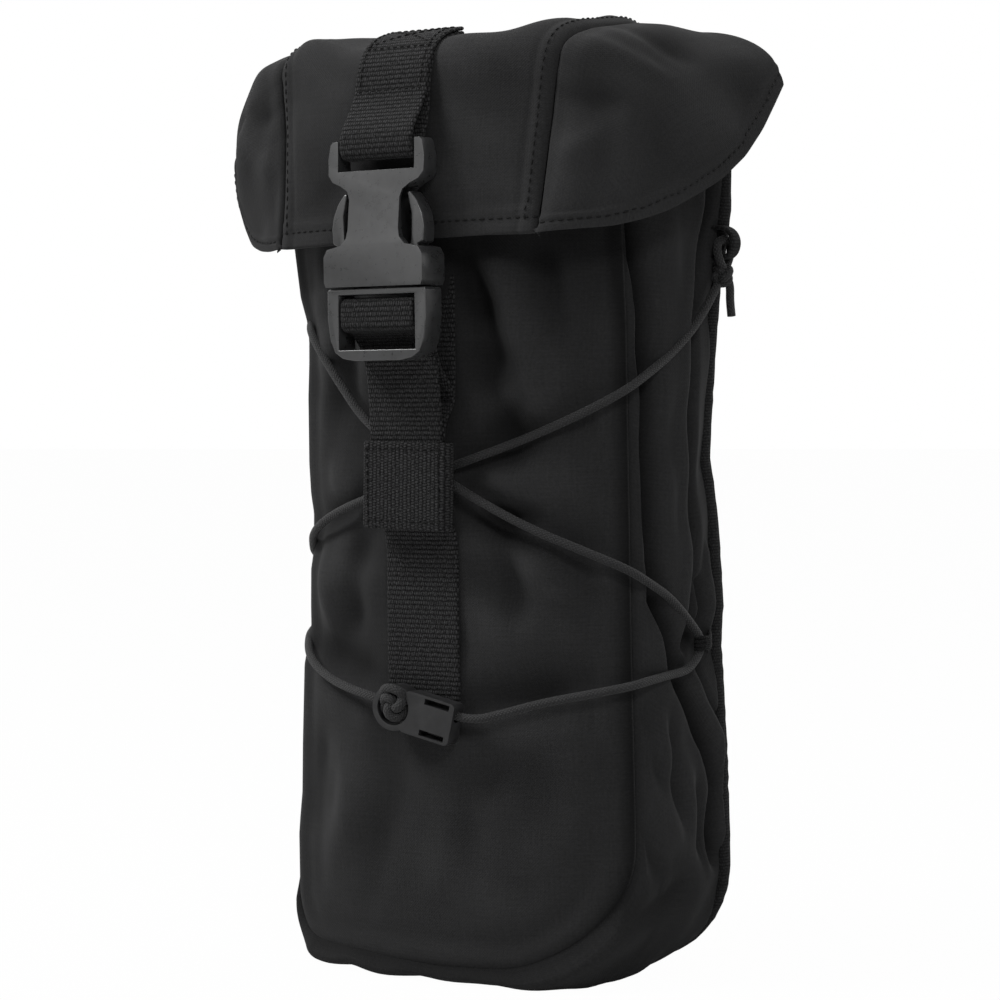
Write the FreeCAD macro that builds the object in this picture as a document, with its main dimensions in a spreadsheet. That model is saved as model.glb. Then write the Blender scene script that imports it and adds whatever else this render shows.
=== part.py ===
"""Tall flap-top utility pouch: fabric body, buckled lid, elastic lacing and a cord hook.

Millimetres.  X runs across the pouch, +X is the wearer-side right seen from the front, the front
faces -Y and Z is up.  Shapes are drawn in the pouch frame, whose Y = 0 is the outside of the back
panel; every node is then moved along Y by FRAME_Y, which puts the origin under the middle of the
whole object.
"""
import FreeCAD, Part
import math
import os
import Sketcher
from FreeCAD import Placement, Rotation, Vector

doc = FreeCAD.newDocument("utility_pouch")

# ---------------------------------------------------------------------------- driving sizes
SIZES = [
    ("half_width", 60.0, "pouch: half its width over the side gussets"),
    ("side_depth", 50.0, "pouch: back face to the front seam"),
    ("front_bulge", 18.5, "pouch: how far the filled front stands out at its middle"),
    ("mouth_height", 262.0, "pouch: height of the mouth above the base"),
    ("corner_radius", 32.0, "pouch: radius of the rounded bottom corners"),
    ("fabric", 1.6, "pouch: laminated wall"),
    ("seam_gap", 0.2, "pouch: clearance between two sewn panels"),
    ("pleat_depth", 6.0, "gussets: depth of the folds pulled in by the cord"),
    ("binding", 1.0, "binding tape thickness"),
    ("binding_height", 9.0, "mouth binding: depth of its sides"),
    ("webbing_width", 25.0, "webbing: width"),
    ("webbing", 1.2, "webbing: thickness"),
    ("base_low", 82.0, "front webbing: lower end"),
    ("base_high", 232.0, "front webbing: upper end, under the lid"),
    ("tunnel_low", 137.0, "front webbing: lower end of the cord tunnel"),
    ("tunnel_high", 161.0, "front webbing: upper end of the cord tunnel"),
    ("cord_size", 2.5, "elastic cord: diameter"),
    ("cord_clearance", 0.35, "elastic cord: clearance in the tunnel"),
    ("keeper_low", 132.0, "keeper: lower edge"),
    ("keeper_play", 0.4, "keeper: clearance beside the webbing"),
    ("lid_half", 47.0, "lid: half width of the middle panel"),
    ("lid_reach", 79.5, "lid: front face, from the back of the pouch"),
    ("lid_hem", 214.0, "lid: height of the front hem"),
    ("lid_crown", 277.2, "lid: highest point"),
    ("wing_reach", 80.5, "lid: furthest point of a wing from the middle"),
    ("bar_height", 240.0, "upper buckle half: height of its webbing bar"),
    ("bar_radius", 2.0, "buckle: radius of a webbing bar"),
    ("bar_play", 0.4, "buckle: clearance of the webbing on a bar"),
    ("buckle_middle", 86.0, "buckle: middle plane, from the back of the pouch"),
    ("buckle_half", 17.0, "buckle: half width"),
    ("buckle_thick", 11.0, "buckle: thickness at the mouth"),
    ("mouth_low", 201.0, "upper buckle half: mouth edge"),
    ("mouth_wall", 2.5, "upper buckle half: side wall at the mouth"),
    ("shoulder_gap", 0.5, "buckle: gap between the two halves"),
    ("slot_half", 13.2, "buckle: half width of its webbing slots"),
    ("frame_low", 180.2, "lower buckle half: lowest point"),
    ("frame_thick", 8.0, "lower buckle half: thickness"),
    ("prong_thick", 5.6, "prongs: thickness"),
    ("swing_height", 178.0, "webbing fold that the lower buckle half swings on"),
    ("hook_height", 79.9, "cord hook: height of its middle"),
    ("hook_middle", 73.6, "cord hook: middle plane, from the back of the pouch"),
    ("hook_thick", 5.0, "cord hook: thickness"),
    ("hook_tilt", 13.0, "cord hook: how far its right end hangs down, degrees"),
    ("loop_height", 214.0, "corner loops: height of their middle"),
    ("anchor_play", 0.75, "side anchors: clearance round the cord"),
]
sizes = doc.addObject("Spreadsheet::Sheet", "sizes")
for row, (alias, value, note) in enumerate(SIZES, start=1):
    sizes.set("A%d" % row, note)
    sizes.set("B%d" % row, str(value))
    sizes.setAlias("B%d" % row, alias)
doc.recompute()


def number(expression):
    """The value of a plain number or of an expression over the sheet."""
    if isinstance(expression, str):
        return float(sizes.evalExpression(expression))
    return float(expression)


def size(alias):
    return number("sizes." + alias)


FRAME_Y = "(sizes.buckle_middle + sizes.buckle_thick / 2 - sizes.webbing) / 2"
FRONT_RADIUS = "(sizes.half_width ^ 2 + sizes.front_bulge ^ 2) / (2 * sizes.front_bulge)"
FRONT_CENTRE = "-(sizes.side_depth + sizes.front_bulge) + " + FRONT_RADIUS
UPRIGHT = {
    "XY_Plane": Rotation(),
    "XZ_Plane": Rotation(Vector(1, 0, 0), 90),
}
nodes = []


# ---------------------------------------------------------------------------- drawing helpers
def as_node(feature, label):
    """Names a finished sub-part and carries it into the object's frame."""
    feature.Label = label
    feature.setExpression("Placement.Base.y", FRAME_Y)
    nodes.append(feature)
    return feature


def bind(feature, **expressions):
    for name, expression in expressions.items():
        feature.setExpression(name.replace("_at_", "."), str(expression))
    return feature


def box(name, x, y, z, length, width, height):
    feature = doc.addObject("Part::Box", name)
    bind(feature, Length=length, Width=width, Height=height)
    return bind(feature, Placement_at_Base_at_x=x, Placement_at_Base_at_y=y, Placement_at_Base_at_z=z)


def upright_cylinder(name, radius, y):
    feature = doc.addObject("Part::Cylinder", name)
    bind(feature, Radius=radius, Height="sizes.mouth_height + 2")
    feature.Placement.Base.z = -1
    return bind(feature, Placement_at_Base_at_y=y)


def boolean(kind, name, base, tool):
    feature = doc.addObject("Part::" + kind, name)
    feature.Base = base
    feature.Tool = tool
    return feature


def add_polygon(sketch, vertices):
    """A closed polygon whose every corner is dimensioned from the sketch's origin."""
    first = len(sketch.Geometry)
    points = [(number(x), number(y)) for x, y in vertices]
    count = len(points)
    for i in range(count):
        start, end = points[i], points[(i + 1) % count]
        sketch.addGeometry(Part.LineSegment(Vector(*start, 0), Vector(*end, 0)), False)
    for i in range(count):
        follower = first + (i + 1) % count
        sketch.addConstraint(Sketcher.Constraint("Coincident", first + i, 2, follower, 1))
    for i in range(count):
        for axis, kind in enumerate(("DistanceX", "DistanceY")):
            constraint = Sketcher.Constraint(kind, -1, 1, first + i, 1, points[i][axis])
            index = sketch.addConstraint(constraint)
            if isinstance(vertices[i][axis], str):
                sketch.setExpression("Constraints[%d]" % index, vertices[i][axis])


def body_sketch(body, name, plane, offset, *polygons):
    sketch = body.newObject("Sketcher::SketchObject", name)
    support = next(f for f in body.Origin.OriginFeatures if f.Role == plane)
    sketch.AttachmentSupport = [(support, "")]
    sketch.MapMode = "FlatFace"
    if offset:
        sketch.setExpression("AttachmentOffset.Base.z", offset)
    for polygon in polygons:
        add_polygon(sketch, polygon)
    return sketch


def pad(body, sketch, length, side="Symmetric"):
    feature = body.newObject("PartDesign::Pad", sketch.Name + "_pad")
    feature.Profile = sketch
    feature.SideType = side
    feature.setExpression("Length", length)
    sketch.Visibility = False
    return feature


def pocket(body, sketch, length=None):
    """Cuts both ways from the sketch: through everything, or a stated overall length."""
    doc.recompute()
    before = body.Shape.Volume
    feature = body.newObject("PartDesign::Pocket", sketch.Name + "_pocket")
    feature.Profile = sketch
    feature.SideType = "Symmetric"
    if length is None:
        feature.Type = "ThroughAll"
    else:
        feature.setExpression("Length", length)
    doc.recompute()
    if body.Shape.Volume > before - 1e-3:
        raise RuntimeError(feature.Name + " cuts nothing")
    return feature


def rectangle(x_low, x_high, y_low, y_high):
    return [(x_low, y_low), (x_high, y_low), (x_high, y_high), (x_low, y_high)]


def mirrored(vertices):
    """The same outline on the other side of the middle plane."""
    def negative(value):
        return "-(%s)" % value if isinstance(value, str) else -value
    return [(negative(x), y) for x, y in reversed(vertices)]


def offset_path(points, distance):
    """The path moved sideways, to its left for a positive distance, with mitred corners."""
    moved = []
    for i, (x, y) in enumerate(points):
        before = points[max(i - 1, 0)]
        after = points[min(i + 1, len(points) - 1)]
        normals = []
        for start, end in ((before, (x, y)), ((x, y), after)):
            run = math.hypot(end[0] - start[0], end[1] - start[1])
            if run > 0:
                normals.append(((start[1] - end[1]) / run, (end[0] - start[0]) / run))
        nx = sum(n[0] for n in normals) / len(normals)
        ny = sum(n[1] for n in normals) / len(normals)
        stretch = distance / (nx * nx + ny * ny)
        moved.append((x + nx * stretch, y + ny * stretch))
    return moved


def ribbon(path, thickness, low_x, high_x):
    """A flat strip of cloth or webbing: path in the YZ plane, width from low_x to high_x."""
    outline = offset_path(path, thickness / 2) + offset_path(path, -thickness / 2)[::-1]
    corners = [Vector(low_x, y, z) for y, z in outline]
    face = Part.Face(Part.makePolygon(corners + corners[:1]))
    return face.extrude(Vector(high_x - low_x, 0, 0))


def free_shape(label, shape):
    feature = doc.addObject("Part::Feature", label)
    feature.Shape = shape
    return as_node(feature, label)


def front_surface(x):
    """Y of the front panel's outside at a distance x from the middle."""
    radius = number(FRONT_RADIUS)
    return number(FRONT_CENTRE) - math.sqrt(radius * radius - x * x)


# ---------------------------------------------------------------------------- pouch body
def u_block(name, half, radius, top, depth, start_y):
    """The pouch's front outline, straight sides and round bottom corners, as a thick block."""
    sketch = doc.addObject("Sketcher::SketchObject", name + "_outline")
    sketch.Placement = Placement(Vector(), UPRIGHT["XZ_Plane"])
    sketch.setExpression("Placement.Base.y", start_y)
    a, r, t = number(half), number(radius), number(top)
    lines = [((a, r), (a, t)), ((a, t), (-a, t)), ((-a, t), (-a, r)), ((r - a, 0), (a - r, 0))]
    for start, end in lines:
        sketch.addGeometry(Part.LineSegment(Vector(*start, 0), Vector(*end, 0)), False)
    for centre_x, first, last in ((a - r, 1.5 * math.pi, 2 * math.pi), (r - a, math.pi, 1.5 * math.pi)):
        circle = Part.Circle(Vector(centre_x, r, 0), Vector(0, 0, 1), r)
        sketch.addGeometry(Part.ArcOfCircle(circle, first, last), False)
    joins = [(0, 2, 1, 1), (1, 2, 2, 1)]
    tangents = [(2, 2, 5, 1), (5, 2, 3, 1), (3, 2, 4, 1), (4, 2, 0, 1)]
    for one, end_one, other, end_other in joins:
        sketch.addConstraint(Sketcher.Constraint("Coincident", one, end_one, other, end_other))
    for one, end_one, other, end_other in tangents:
        sketch.addConstraint(Sketcher.Constraint("Tangent", one, end_one, other, end_other))
    sketch.addConstraint([Sketcher.Constraint("Vertical", 0), Sketcher.Constraint("Vertical", 2),
                          Sketcher.Constraint("Horizontal", 1), Sketcher.Constraint("Horizontal", 3)])
    driving = [("DistanceX", -1, 1, 0, 1, a, half), ("DistanceX", 2, 1, -1, 1, a, half),
               ("DistanceY", -1, 1, 0, 2, t, top)]
    for kind, one, end_one, other, end_other, value, expression in driving:
        constraint = Sketcher.Constraint(kind, one, end_one, other, end_other, value)
        sketch.setExpression("Constraints[%d]" % sketch.addConstraint(constraint), expression)
    index = sketch.addConstraint(Sketcher.Constraint("Radius", 4, r))
    sketch.setExpression("Constraints[%d]" % index, radius)
    sketch.addConstraint(Sketcher.Constraint("PointOnObject", 3, 1, -1))
    block = doc.addObject("Part::Extrusion", name)
    block.Base = sketch
    block.DirMode = "Custom"
    block.Dir = Vector(0, -1, 0)
    block.Solid = True
    block.setExpression("LengthFwd", depth)
    return block


WHOLE_DEPTH = "sizes.side_depth + sizes.front_bulge + 1"
outline = u_block("pouch_block", "sizes.half_width", "sizes.corner_radius", "sizes.mouth_height",
                  WHOLE_DEPTH, "0")
outer_front = upright_cylinder("outer_front", FRONT_RADIUS, FRONT_CENTRE)
inner_front = upright_cylinder("inner_front", FRONT_RADIUS + " - sizes.fabric", FRONT_CENTRE)
seam_front = upright_cylinder("seam_front", FRONT_RADIUS + " - sizes.fabric - sizes.seam_gap", FRONT_CENTRE)

pouch_envelope = boolean("Common", "pouch_envelope", outline, outer_front)
as_node(boolean("Cut", "front_panel", pouch_envelope, inner_front), "front_panel")

back_block = u_block("back_block", "sizes.half_width", "sizes.corner_radius", "sizes.mouth_height",
                     "sizes.fabric", "0")
as_node(back_block, "back_panel")

hollow = u_block("hollow_block", "sizes.half_width - sizes.fabric", "sizes.corner_radius - sizes.fabric",
                 "sizes.mouth_height + 1", WHOLE_DEPTH + " + 2", "1")
hollow.setExpression("Placement.Base.z", "sizes.fabric")
behind_front = boolean("Common", "behind_front", outline, seam_front)
band = boolean("Cut", "band", behind_front, hollow)
bottom_zone = box("bottom_zone", "-sizes.half_width - 1", "-(" + WHOLE_DEPTH + ")", "-1",
                  "2 * sizes.half_width + 2", WHOLE_DEPTH + " - sizes.fabric - sizes.seam_gap",
                  "sizes.corner_radius + 1")
as_node(boolean("Common", "bottom_gusset", band, bottom_zone), "bottom_gusset")

# Each side gusset is one pleated wall: three crests level with the pouch's side, two folds between.
GUSSET_FRONT = "-sizes.side_depth + sizes.fabric * 1.6"
crest, valley = "sizes.half_width", "sizes.half_width - sizes.pleat_depth"
pleat_path = [
    (crest, "-sizes.fabric - sizes.seam_gap"), (crest, "-sizes.side_depth * 0.1"),
    (valley, "-sizes.side_depth * 0.28"), (crest, "-sizes.side_depth * 0.42"),
    (valley, "-sizes.side_depth * 0.66"), (crest, "-sizes.side_depth * 0.76"), (crest, GUSSET_FRONT),
]
pleat_outline = pleat_path + [(x + " - sizes.fabric", y) for x, y in reversed(pleat_path)]
for label, polygon in (("right_gusset", pleat_outline), ("left_gusset", mirrored(pleat_outline))):
    body = doc.addObject("PartDesign::Body", label)
    sketch = body_sketch(body, label + "_fold", "XY_Plane", "sizes.corner_radius", polygon)
    pad(body, sketch, "sizes.mouth_height - sizes.corner_radius", "One side")
    as_node(body, label)

# The mouth's tape lies on the outside of the front and the sides; the lid is sewn on at the back.
tape_zone = box("tape_zone", "-sizes.half_width - 2", "-(" + WHOLE_DEPTH + ") - 4",
                "sizes.mouth_height - sizes.binding_height", "2 * sizes.half_width + 4",
                WHOLE_DEPTH + " + 1", "sizes.binding_height")
tape_front = upright_cylinder("tape_front", FRONT_RADIUS + " + sizes.seam_gap + sizes.binding", FRONT_CENTRE)
tape_back = upright_cylinder("tape_back", FRONT_RADIUS + " + sizes.seam_gap", FRONT_CENTRE)
tape_sides = box("tape_sides", "-sizes.half_width - sizes.seam_gap - sizes.binding", "-200", "0",
                 "2 * (sizes.half_width + sizes.seam_gap + sizes.binding)", "200", "sizes.mouth_height + 1")
tape_inside = box("tape_inside", "-sizes.half_width - sizes.seam_gap", "-200", "-1",
                  "2 * (sizes.half_width + sizes.seam_gap)", "201", "sizes.mouth_height + 2")
tape_outer = boolean("Common", "tape_outer", tape_sides, tape_front)
tape_inner = boolean("Common", "tape_inner", tape_inside, tape_back)
tape_ring = boolean("Cut", "tape_ring", tape_outer, tape_inner)
as_node(boolean("Common", "mouth_binding", tape_ring, tape_zone), "mouth_binding")

# Tape sewn flat round the edge of the back panel, over the raw edges of panel and gusset.
edge_outer = u_block("edge_outer", "sizes.half_width + sizes.binding", "sizes.corner_radius + sizes.binding",
                     "sizes.mouth_height - sizes.binding_height", "sizes.binding", "sizes.binding")
edge_inner = u_block("edge_inner", "sizes.half_width - 7", "sizes.corner_radius - 7",
                     "sizes.mouth_height", "sizes.binding + 2", "sizes.binding + 1")
edge_inner.setExpression("Placement.Base.z", "7")
as_node(boolean("Cut", "back_edge_binding", edge_outer, edge_inner), "back_edge_binding")

# Webbing rows for hanging the pouch, spread evenly up the back between the edge tapes.
ROW_COUNT = 5
ROW_FIRST = "(sizes.corner_radius * 11 / 16)"
ROW_PITCH = "((sizes.mouth_height - %s - sizes.webbing_width - 15) / %d)" % (ROW_FIRST, ROW_COUNT - 1)
for i in range(ROW_COUNT):
    label = "back_webbing_row_%d" % (i + 1)
    row = box(label, "-sizes.half_width + 10", "0", "%s + %d * %s" % (ROW_FIRST, i, ROW_PITCH),
              "2 * sizes.half_width - 20", "sizes.webbing", "sizes.webbing_width")
    as_node(row, label)
    row.setExpression("Placement.Base.y", FRAME_Y)


# ---------------------------------------------------------------------------- front webbing
webbing = size("webbing")
half_webbing = size("webbing_width") / 2
front = front_surface(0)
tunnel = 2 * size("cord_size") + 3 * size("cord_clearance")
lying = front - 0.1 - webbing / 2
raised = front - tunnel - webbing / 2
ramp = 7.0
base_path = [
    (lying, size("base_low")), (lying, size("tunnel_low") - ramp), (raised, size("tunnel_low")),
    (raised, size("tunnel_high")), (lying, size("tunnel_high") + ramp), (lying, size("base_high")),
]
free_shape("base_webbing", ribbon(base_path, webbing, -half_webbing, half_webbing))

# The adjusting strap is sewn on above the tunnel, goes up round the lower buckle half and comes
# back down through the keeper.  It is cut at the fold on which the buckle half swings.
swing = size("swing_height")
step = webbing + 0.1
fold_gap = 0.15
tail = raised - step
bar_front = -size("buckle_middle") - size("frame_thick") / 2 + 0.4
low = size("frame_low")
sewn_part = [(lying - step, swing - 9.2), (lying - step, swing - 6.5), (lying - 3.3, swing - 4),
             (lying - 7.0, swing - fold_gap)]
tail_part = [(tail, size("keeper_low") + 1.5), (tail, swing - 15), (tail - 0.4, swing - 7),
             (lying - 8.5, swing - fold_gap)]
lower_strap = Part.makeCompound([ribbon(path, webbing, -half_webbing, half_webbing)
                                 for path in (sewn_part, tail_part)])
free_shape("adjuster_strap", lower_strap)
loop_path = [
    (lying - 7.0, swing + fold_gap), (lying - 8.1, low + 0.4), (lying - 9.8, low + 4),
    (lying - 11.0, low + 8), (lying - 11.4, low + 13), (lying - 12.0, low + 15.6),
    (lying - 13.2, low + 17.0), (lying - 16.0, low + 17.2), (lying - 18.4, low + 17.1),
    (bar_front + 0.4, low + 16.6), (bar_front, low + 15.0), (bar_front, low + 9.8),
    (bar_front + 0.7, low + 8.8), (lying - 17.3, low + 8.6), (lying - 14.4, low + 7.2),
    (lying - 11.9, low + 4.4), (lying - 9.9, low + 0.9), (lying - 8.5, swing + fold_gap),
]
free_shape("adjuster_loop", ribbon(loop_path, webbing, -half_webbing, half_webbing))

# The keeper is a band across the strap, open at the back where the cords run.
keeper = doc.addObject("PartDesign::Body", "keeper")
KEEPER_BACK = -(raised + webbing / 2)
KEEPER_FRONT = -(tail - webbing / 2 - 0.2)
inner = "(sizes.webbing_width / 2 + sizes.keeper_play)"
outer = "(%s + sizes.webbing)" % inner
keeper_section = [
    ("-" + outer, -KEEPER_BACK), ("-" + outer, "-%f - sizes.webbing" % KEEPER_FRONT),
    (outer, "-%f - sizes.webbing" % KEEPER_FRONT), (outer, -KEEPER_BACK), (inner, -KEEPER_BACK),
    (inner, -KEEPER_FRONT), ("-" + inner, -KEEPER_FRONT), ("-" + inner, -KEEPER_BACK),
]
keeper_sketch = body_sketch(keeper, "keeper_section", "XY_Plane", "sizes.keeper_low", keeper_section)
pad(keeper, keeper_sketch, "sizes.webbing_width", "One side")
as_node(keeper, "webbing_keeper")


# ---------------------------------------------------------------------------- lid
cloth = size("fabric")
crown = size("lid_crown") - cloth / 2
reach = size("lid_reach") - cloth / 2
hem = size("lid_hem")
lid_half = size("lid_half")
mouth = size("mouth_height")
lid_path = [
    (-cloth / 2, mouth + 0.5), (-cloth / 2, crown - 6.5), (-3.0, crown - 2.4), (-8.0, crown - 0.8),
    (-30.0, crown), (3 - 0.73 * reach, crown - 2.0), (10 - reach, crown - 4.8), (3.6 - reach, crown - 9.4),
    (0.5 - reach, crown - 17.4), (-reach, crown - 26.4), (-reach, hem),
]
free_shape("lid_middle_panel", ribbon(lid_path, cloth, -lid_half, lid_half))


def wing(side):
    """One side flap of the lid: a folded sheet from the middle panel's edge to a flared hem."""
    seam = lid_half + 1.4
    tip = size("wing_reach")
    outside = [
        (seam, -1.0, crown - 0.4), (seam, 3 - 0.73 * reach, crown - 2.4), (seam, 4.5 - reach, crown - 10),
        (seam, 0.5 - reach, hem), (tip - 14.5, -60.0, hem + 3), (tip - 4.5, -37.0, hem + 13),
        (tip - 1.5, -18.0, hem + 24), (tip, -1.0, hem + 47), (tip - 11.5, -45.0, mouth + 0.5),
        (tip - 12.5, -14.0, mouth + 3.5),
    ]
    facets = [(0, 1, 8), (0, 8, 9), (8, 6, 9), (6, 7, 9), (0, 9, 7), (1, 2, 8), (2, 4, 8), (2, 3, 4),
              (4, 5, 8), (5, 6, 8)]
    outer_points = [Vector(*point) for point in outside]
    normals = [Vector() for _ in outside]
    for a, b, c in facets:
        across = (outer_points[b] - outer_points[a]).cross(outer_points[c] - outer_points[a])
        for corner in (a, b, c):
            normals[corner] += across.normalize() if across.Length > 0 else Vector()
    inner_points = [p - n.normalize() * cloth for p, n in zip(outer_points, normals)]
    rim = [0, 1, 2, 3, 4, 5, 6, 7]
    triangles = [[outer_points[i] for i in facet] for facet in facets]
    triangles += [[inner_points[i] for i in facet] for facet in facets]
    for i, j in zip(rim, rim[1:] + rim[:1]):
        triangles.append([outer_points[i], outer_points[j], inner_points[j]])
        triangles.append([outer_points[i], inner_points[j], inner_points[i]])
    faces = []
    for triangle in triangles:
        corners = [Vector(side * p.x, p.y, p.z) for p in triangle]
        faces.append(Part.Face(Part.makePolygon(corners + corners[:1])))
    shell = Part.makeShell(faces)
    shell.sewShape()
    solid = Part.makeSolid(shell)
    if solid.Volume < 0:
        solid.reverse()
    return solid


free_shape("lid_right_wing", wing(1))
free_shape("lid_left_wing", wing(-1))

# One webbing strap is doubled: both layers are sewn to the lid, and its fold holds the buckle's bar.
bar_y, bar_z = -size("buckle_middle"), size("bar_height")
turn = size("bar_radius") + size("bar_play") + webbing / 2
under_layer = offset_path(lid_path[6:10], -(cloth / 2 + 0.1 + webbing / 2))
over_zone = lid_path[6:9] + [(-reach, bar_z + 14.0)]
over_layer = offset_path(over_zone, -(cloth / 2 + 0.2 + webbing * 1.5))
fold = [(bar_y + turn * math.cos(math.radians(a)), bar_z + turn * math.sin(math.radians(a)))
        for a in (25, 0, -30, -60, -90, -120, -150, -180)]
strap_path = under_layer + [(bar_y + turn + 1.8, bar_z + 6.6), (bar_y + turn + 0.5, bar_z + 3.4)] + fold
strap_path += [(bar_y - turn + 0.3, bar_z + 3.4), (bar_y - turn + 2.2, bar_z + 6.6),
               (bar_y + 2.4, bar_z + 9.4)] + over_layer[::-1]
free_shape("lid_strap", ribbon(strap_path, webbing, -half_webbing, half_webbing))


# ---------------------------------------------------------------------------- side-release buckle
MIDDLE = "sizes.buckle_middle"
HALF = "sizes.buckle_half"
SLOT = "sizes.slot_half"
BAR = "sizes.bar_height"
MOUTH = "sizes.mouth_low"
EAR = "sizes.slot_half + 3.2"
NECK = "sizes.buckle_half - 8.3"
TOP = BAR + " + sizes.bar_radius"

upper_outline = [
    (HALF + " - 0.6", MOUTH), (HALF, MOUTH + " + 1.5"), (HALF, MOUTH + " + 8.5"),
    (HALF + " - 1.2", MOUTH + " + 10.6"), (NECK + " + 2.4", MOUTH + " + 11.6"),
    (NECK + " + 0.5", MOUTH + " + 13.6"), (NECK, MOUTH + " + 16"), (NECK, BAR + " - 14.4"),
    (NECK + " + 0.8", BAR + " - 12.2"), (NECK + " + 3.2", BAR + " - 10.6"),
    (EAR + " - 1.6", BAR + " - 9.4"), (EAR, BAR + " - 7.4"), (EAR + " + 0.2", BAR + " - 3"),
    (EAR + " - 0.6", TOP + " - 0.8"), (EAR + " - 1.4", TOP),
]
upper = doc.addObject("PartDesign::Body", "upper_buckle")
outline_sketch = body_sketch(upper, "upper_outline", "XZ_Plane", MIDDLE,
                             upper_outline + mirrored(upper_outline))
pad(upper, outline_sketch, "sizes.buckle_thick")
# The outside tapers from the thick mouth to the thin ears.
taper = [("-(%s)" % MIDDLE + " - sizes.buckle_thick", MOUTH + " + 12"),
         ("-(%s)" % MIDDLE + " - sizes.buckle_thick / 2", MOUTH + " + 12"),
         ("-(%s)" % MIDDLE + " - 3", BAR + " - 5"), ("-(%s)" % MIDDLE + " - 2.8", TOP + " + 1"),
         ("-(%s)" % MIDDLE + " - sizes.buckle_thick", TOP + " + 1")]
taper_back = [("-2 * (%s) - (%s)" % (MIDDLE, y), z) for y, z in reversed(taper)]
pocket(upper, body_sketch(upper, "upper_taper", "YZ_Plane", None, taper, taper_back))
# Webbing slot between bar and cross piece, and the bar thinned to a rod.
pocket(upper, body_sketch(upper, "upper_slot", "XZ_Plane", MIDDLE,
                          rectangle("-" + SLOT, SLOT, BAR + " - 6.5", BAR + " - sizes.bar_radius")))
rod_section = [("-(%s) + sizes.bar_radius * %.4f" % (MIDDLE, math.cos(math.radians(a))),
                BAR + " + sizes.bar_radius * %.4f" % math.sin(math.radians(a)))
               for a in range(15, 360, 30)]
round_rod = rectangle("-(%s) - 6" % MIDDLE, "-(%s) + 6" % MIDDLE, BAR + " - 3", TOP + " + 1")
pocket(upper, body_sketch(upper, "upper_rod", "YZ_Plane", None, round_rod, rod_section), "2 * " + SLOT)
# The hollow that takes the prongs, open at the mouth and through both side windows.
CAVITY = HALF + " - sizes.mouth_wall"
cavity = rectangle("-(%s)" % CAVITY, CAVITY, MOUTH + " - 1", BAR + " - 11.5")
pocket(upper, body_sketch(upper, "upper_cavity", "XZ_Plane", MIDDLE, cavity), "sizes.prong_thick + 0.8")
as_node(upper, "buckle_upper_half")

lower = doc.addObject("PartDesign::Body", "lower_buckle")
SHOULDER = "sizes.mouth_low - sizes.shoulder_gap"
LOW = "sizes.frame_low"
lower_outline = [
    (8.0, LOW), (HALF + " - 5", LOW + " + 0.7"), (HALF + " - 2.4", LOW + " + 2.4"),
    (HALF + " - 0.8", LOW + " + 6"), (HALF, LOW + " + 12"), (HALF, SHOULDER + " - 0.6"),
    (HALF + " - 0.6", SHOULDER),
]
frame_sketch = body_sketch(lower, "lower_outline", "XZ_Plane", MIDDLE,
                           lower_outline + mirrored(lower_outline))
pad(lower, frame_sketch, "sizes.frame_thick")
slots = [rectangle("-" + SLOT, SLOT, LOW + " + 3.1", LOW + " + 9.8"),
         rectangle("-" + SLOT, SLOT, LOW + " + 15.8", LOW + " + 18.6")]
pocket(lower, body_sketch(lower, "lower_slots", "XZ_Plane", MIDDLE, *slots))
# The adjusting bar lies a little behind the frame's front and in front of its back.
bar_cut = [rectangle("-(%s) - 6" % MIDDLE, "-(%s) - 2.6" % MIDDLE, LOW + " + 9", LOW + " + 16.5"),
           rectangle("-(%s) + 3.4" % MIDDLE, "-(%s) + 6" % MIDDLE, LOW + " + 9", LOW + " + 16.5")]
pocket(lower, body_sketch(lower, "lower_bar", "YZ_Plane", None, *bar_cut), "2 * " + SLOT)
as_node(lower, "buckle_lower_half")

# Each prong is a springy arm with a thumb pad that shows in the side window.
prong_outline = [
    (6.5, MOUTH + " - 0.2"), (12.8, MOUTH + " - 0.2"), (HALF + " - 3.2", MOUTH + " + 2"),
    (HALF + " - 3.2", MOUTH + " + 11.4"), (HALF + " - 1.4", MOUTH + " + 12.3"),
    (HALF + " - 1.1", MOUTH + " + 16.5"), (HALF + " - 1.8", MOUTH + " + 20"),
    (HALF + " - 3.4", MOUTH + " + 23.5"), (HALF + " - 5.6", MOUTH + " + 26.2"),
    (HALF + " - 6.6", MOUTH + " + 26"), (HALF + " - 5.2", MOUTH + " + 20"),
    (HALF + " - 5.4", MOUTH + " + 13"), (HALF + " - 7.4", MOUTH + " + 6"), (6.5, MOUTH + " + 2.6"),
]
for label, polygon in (("right_prong", prong_outline), ("left_prong", mirrored(prong_outline))):
    body = doc.addObject("PartDesign::Body", label)
    pad(body, body_sketch(body, label + "_outline", "XZ_Plane", MIDDLE, polygon), "sizes.prong_thick")
    as_node(body, label)


# ---------------------------------------------------------------------------- cord hook
# Drawn level about its own middle: an open cup on the left, a slotted grip on the right.
hook_place = Placement(Vector(0, -size("hook_middle"), size("hook_height")),
                       Rotation(Vector(0, 1, 0), size("hook_tilt")))
CUP_X, CUP_RADIUS, CUP_WALL = -7.6, 5.7, 1.8
hook_half_thick = size("hook_thick") / 2


def hook_disc(radius, x, half_thick):
    return Part.makeCylinder(radius, 2 * half_thick, Vector(x, half_thick, 0), Vector(0, -1, 0))


def hook_block(x_low, x_high, z_low, z_high, half_thick):
    corner = Vector(x_low, -half_thick, z_low)
    return Part.makeBox(x_high - x_low, 2 * half_thick, z_high - z_low, corner)


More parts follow.
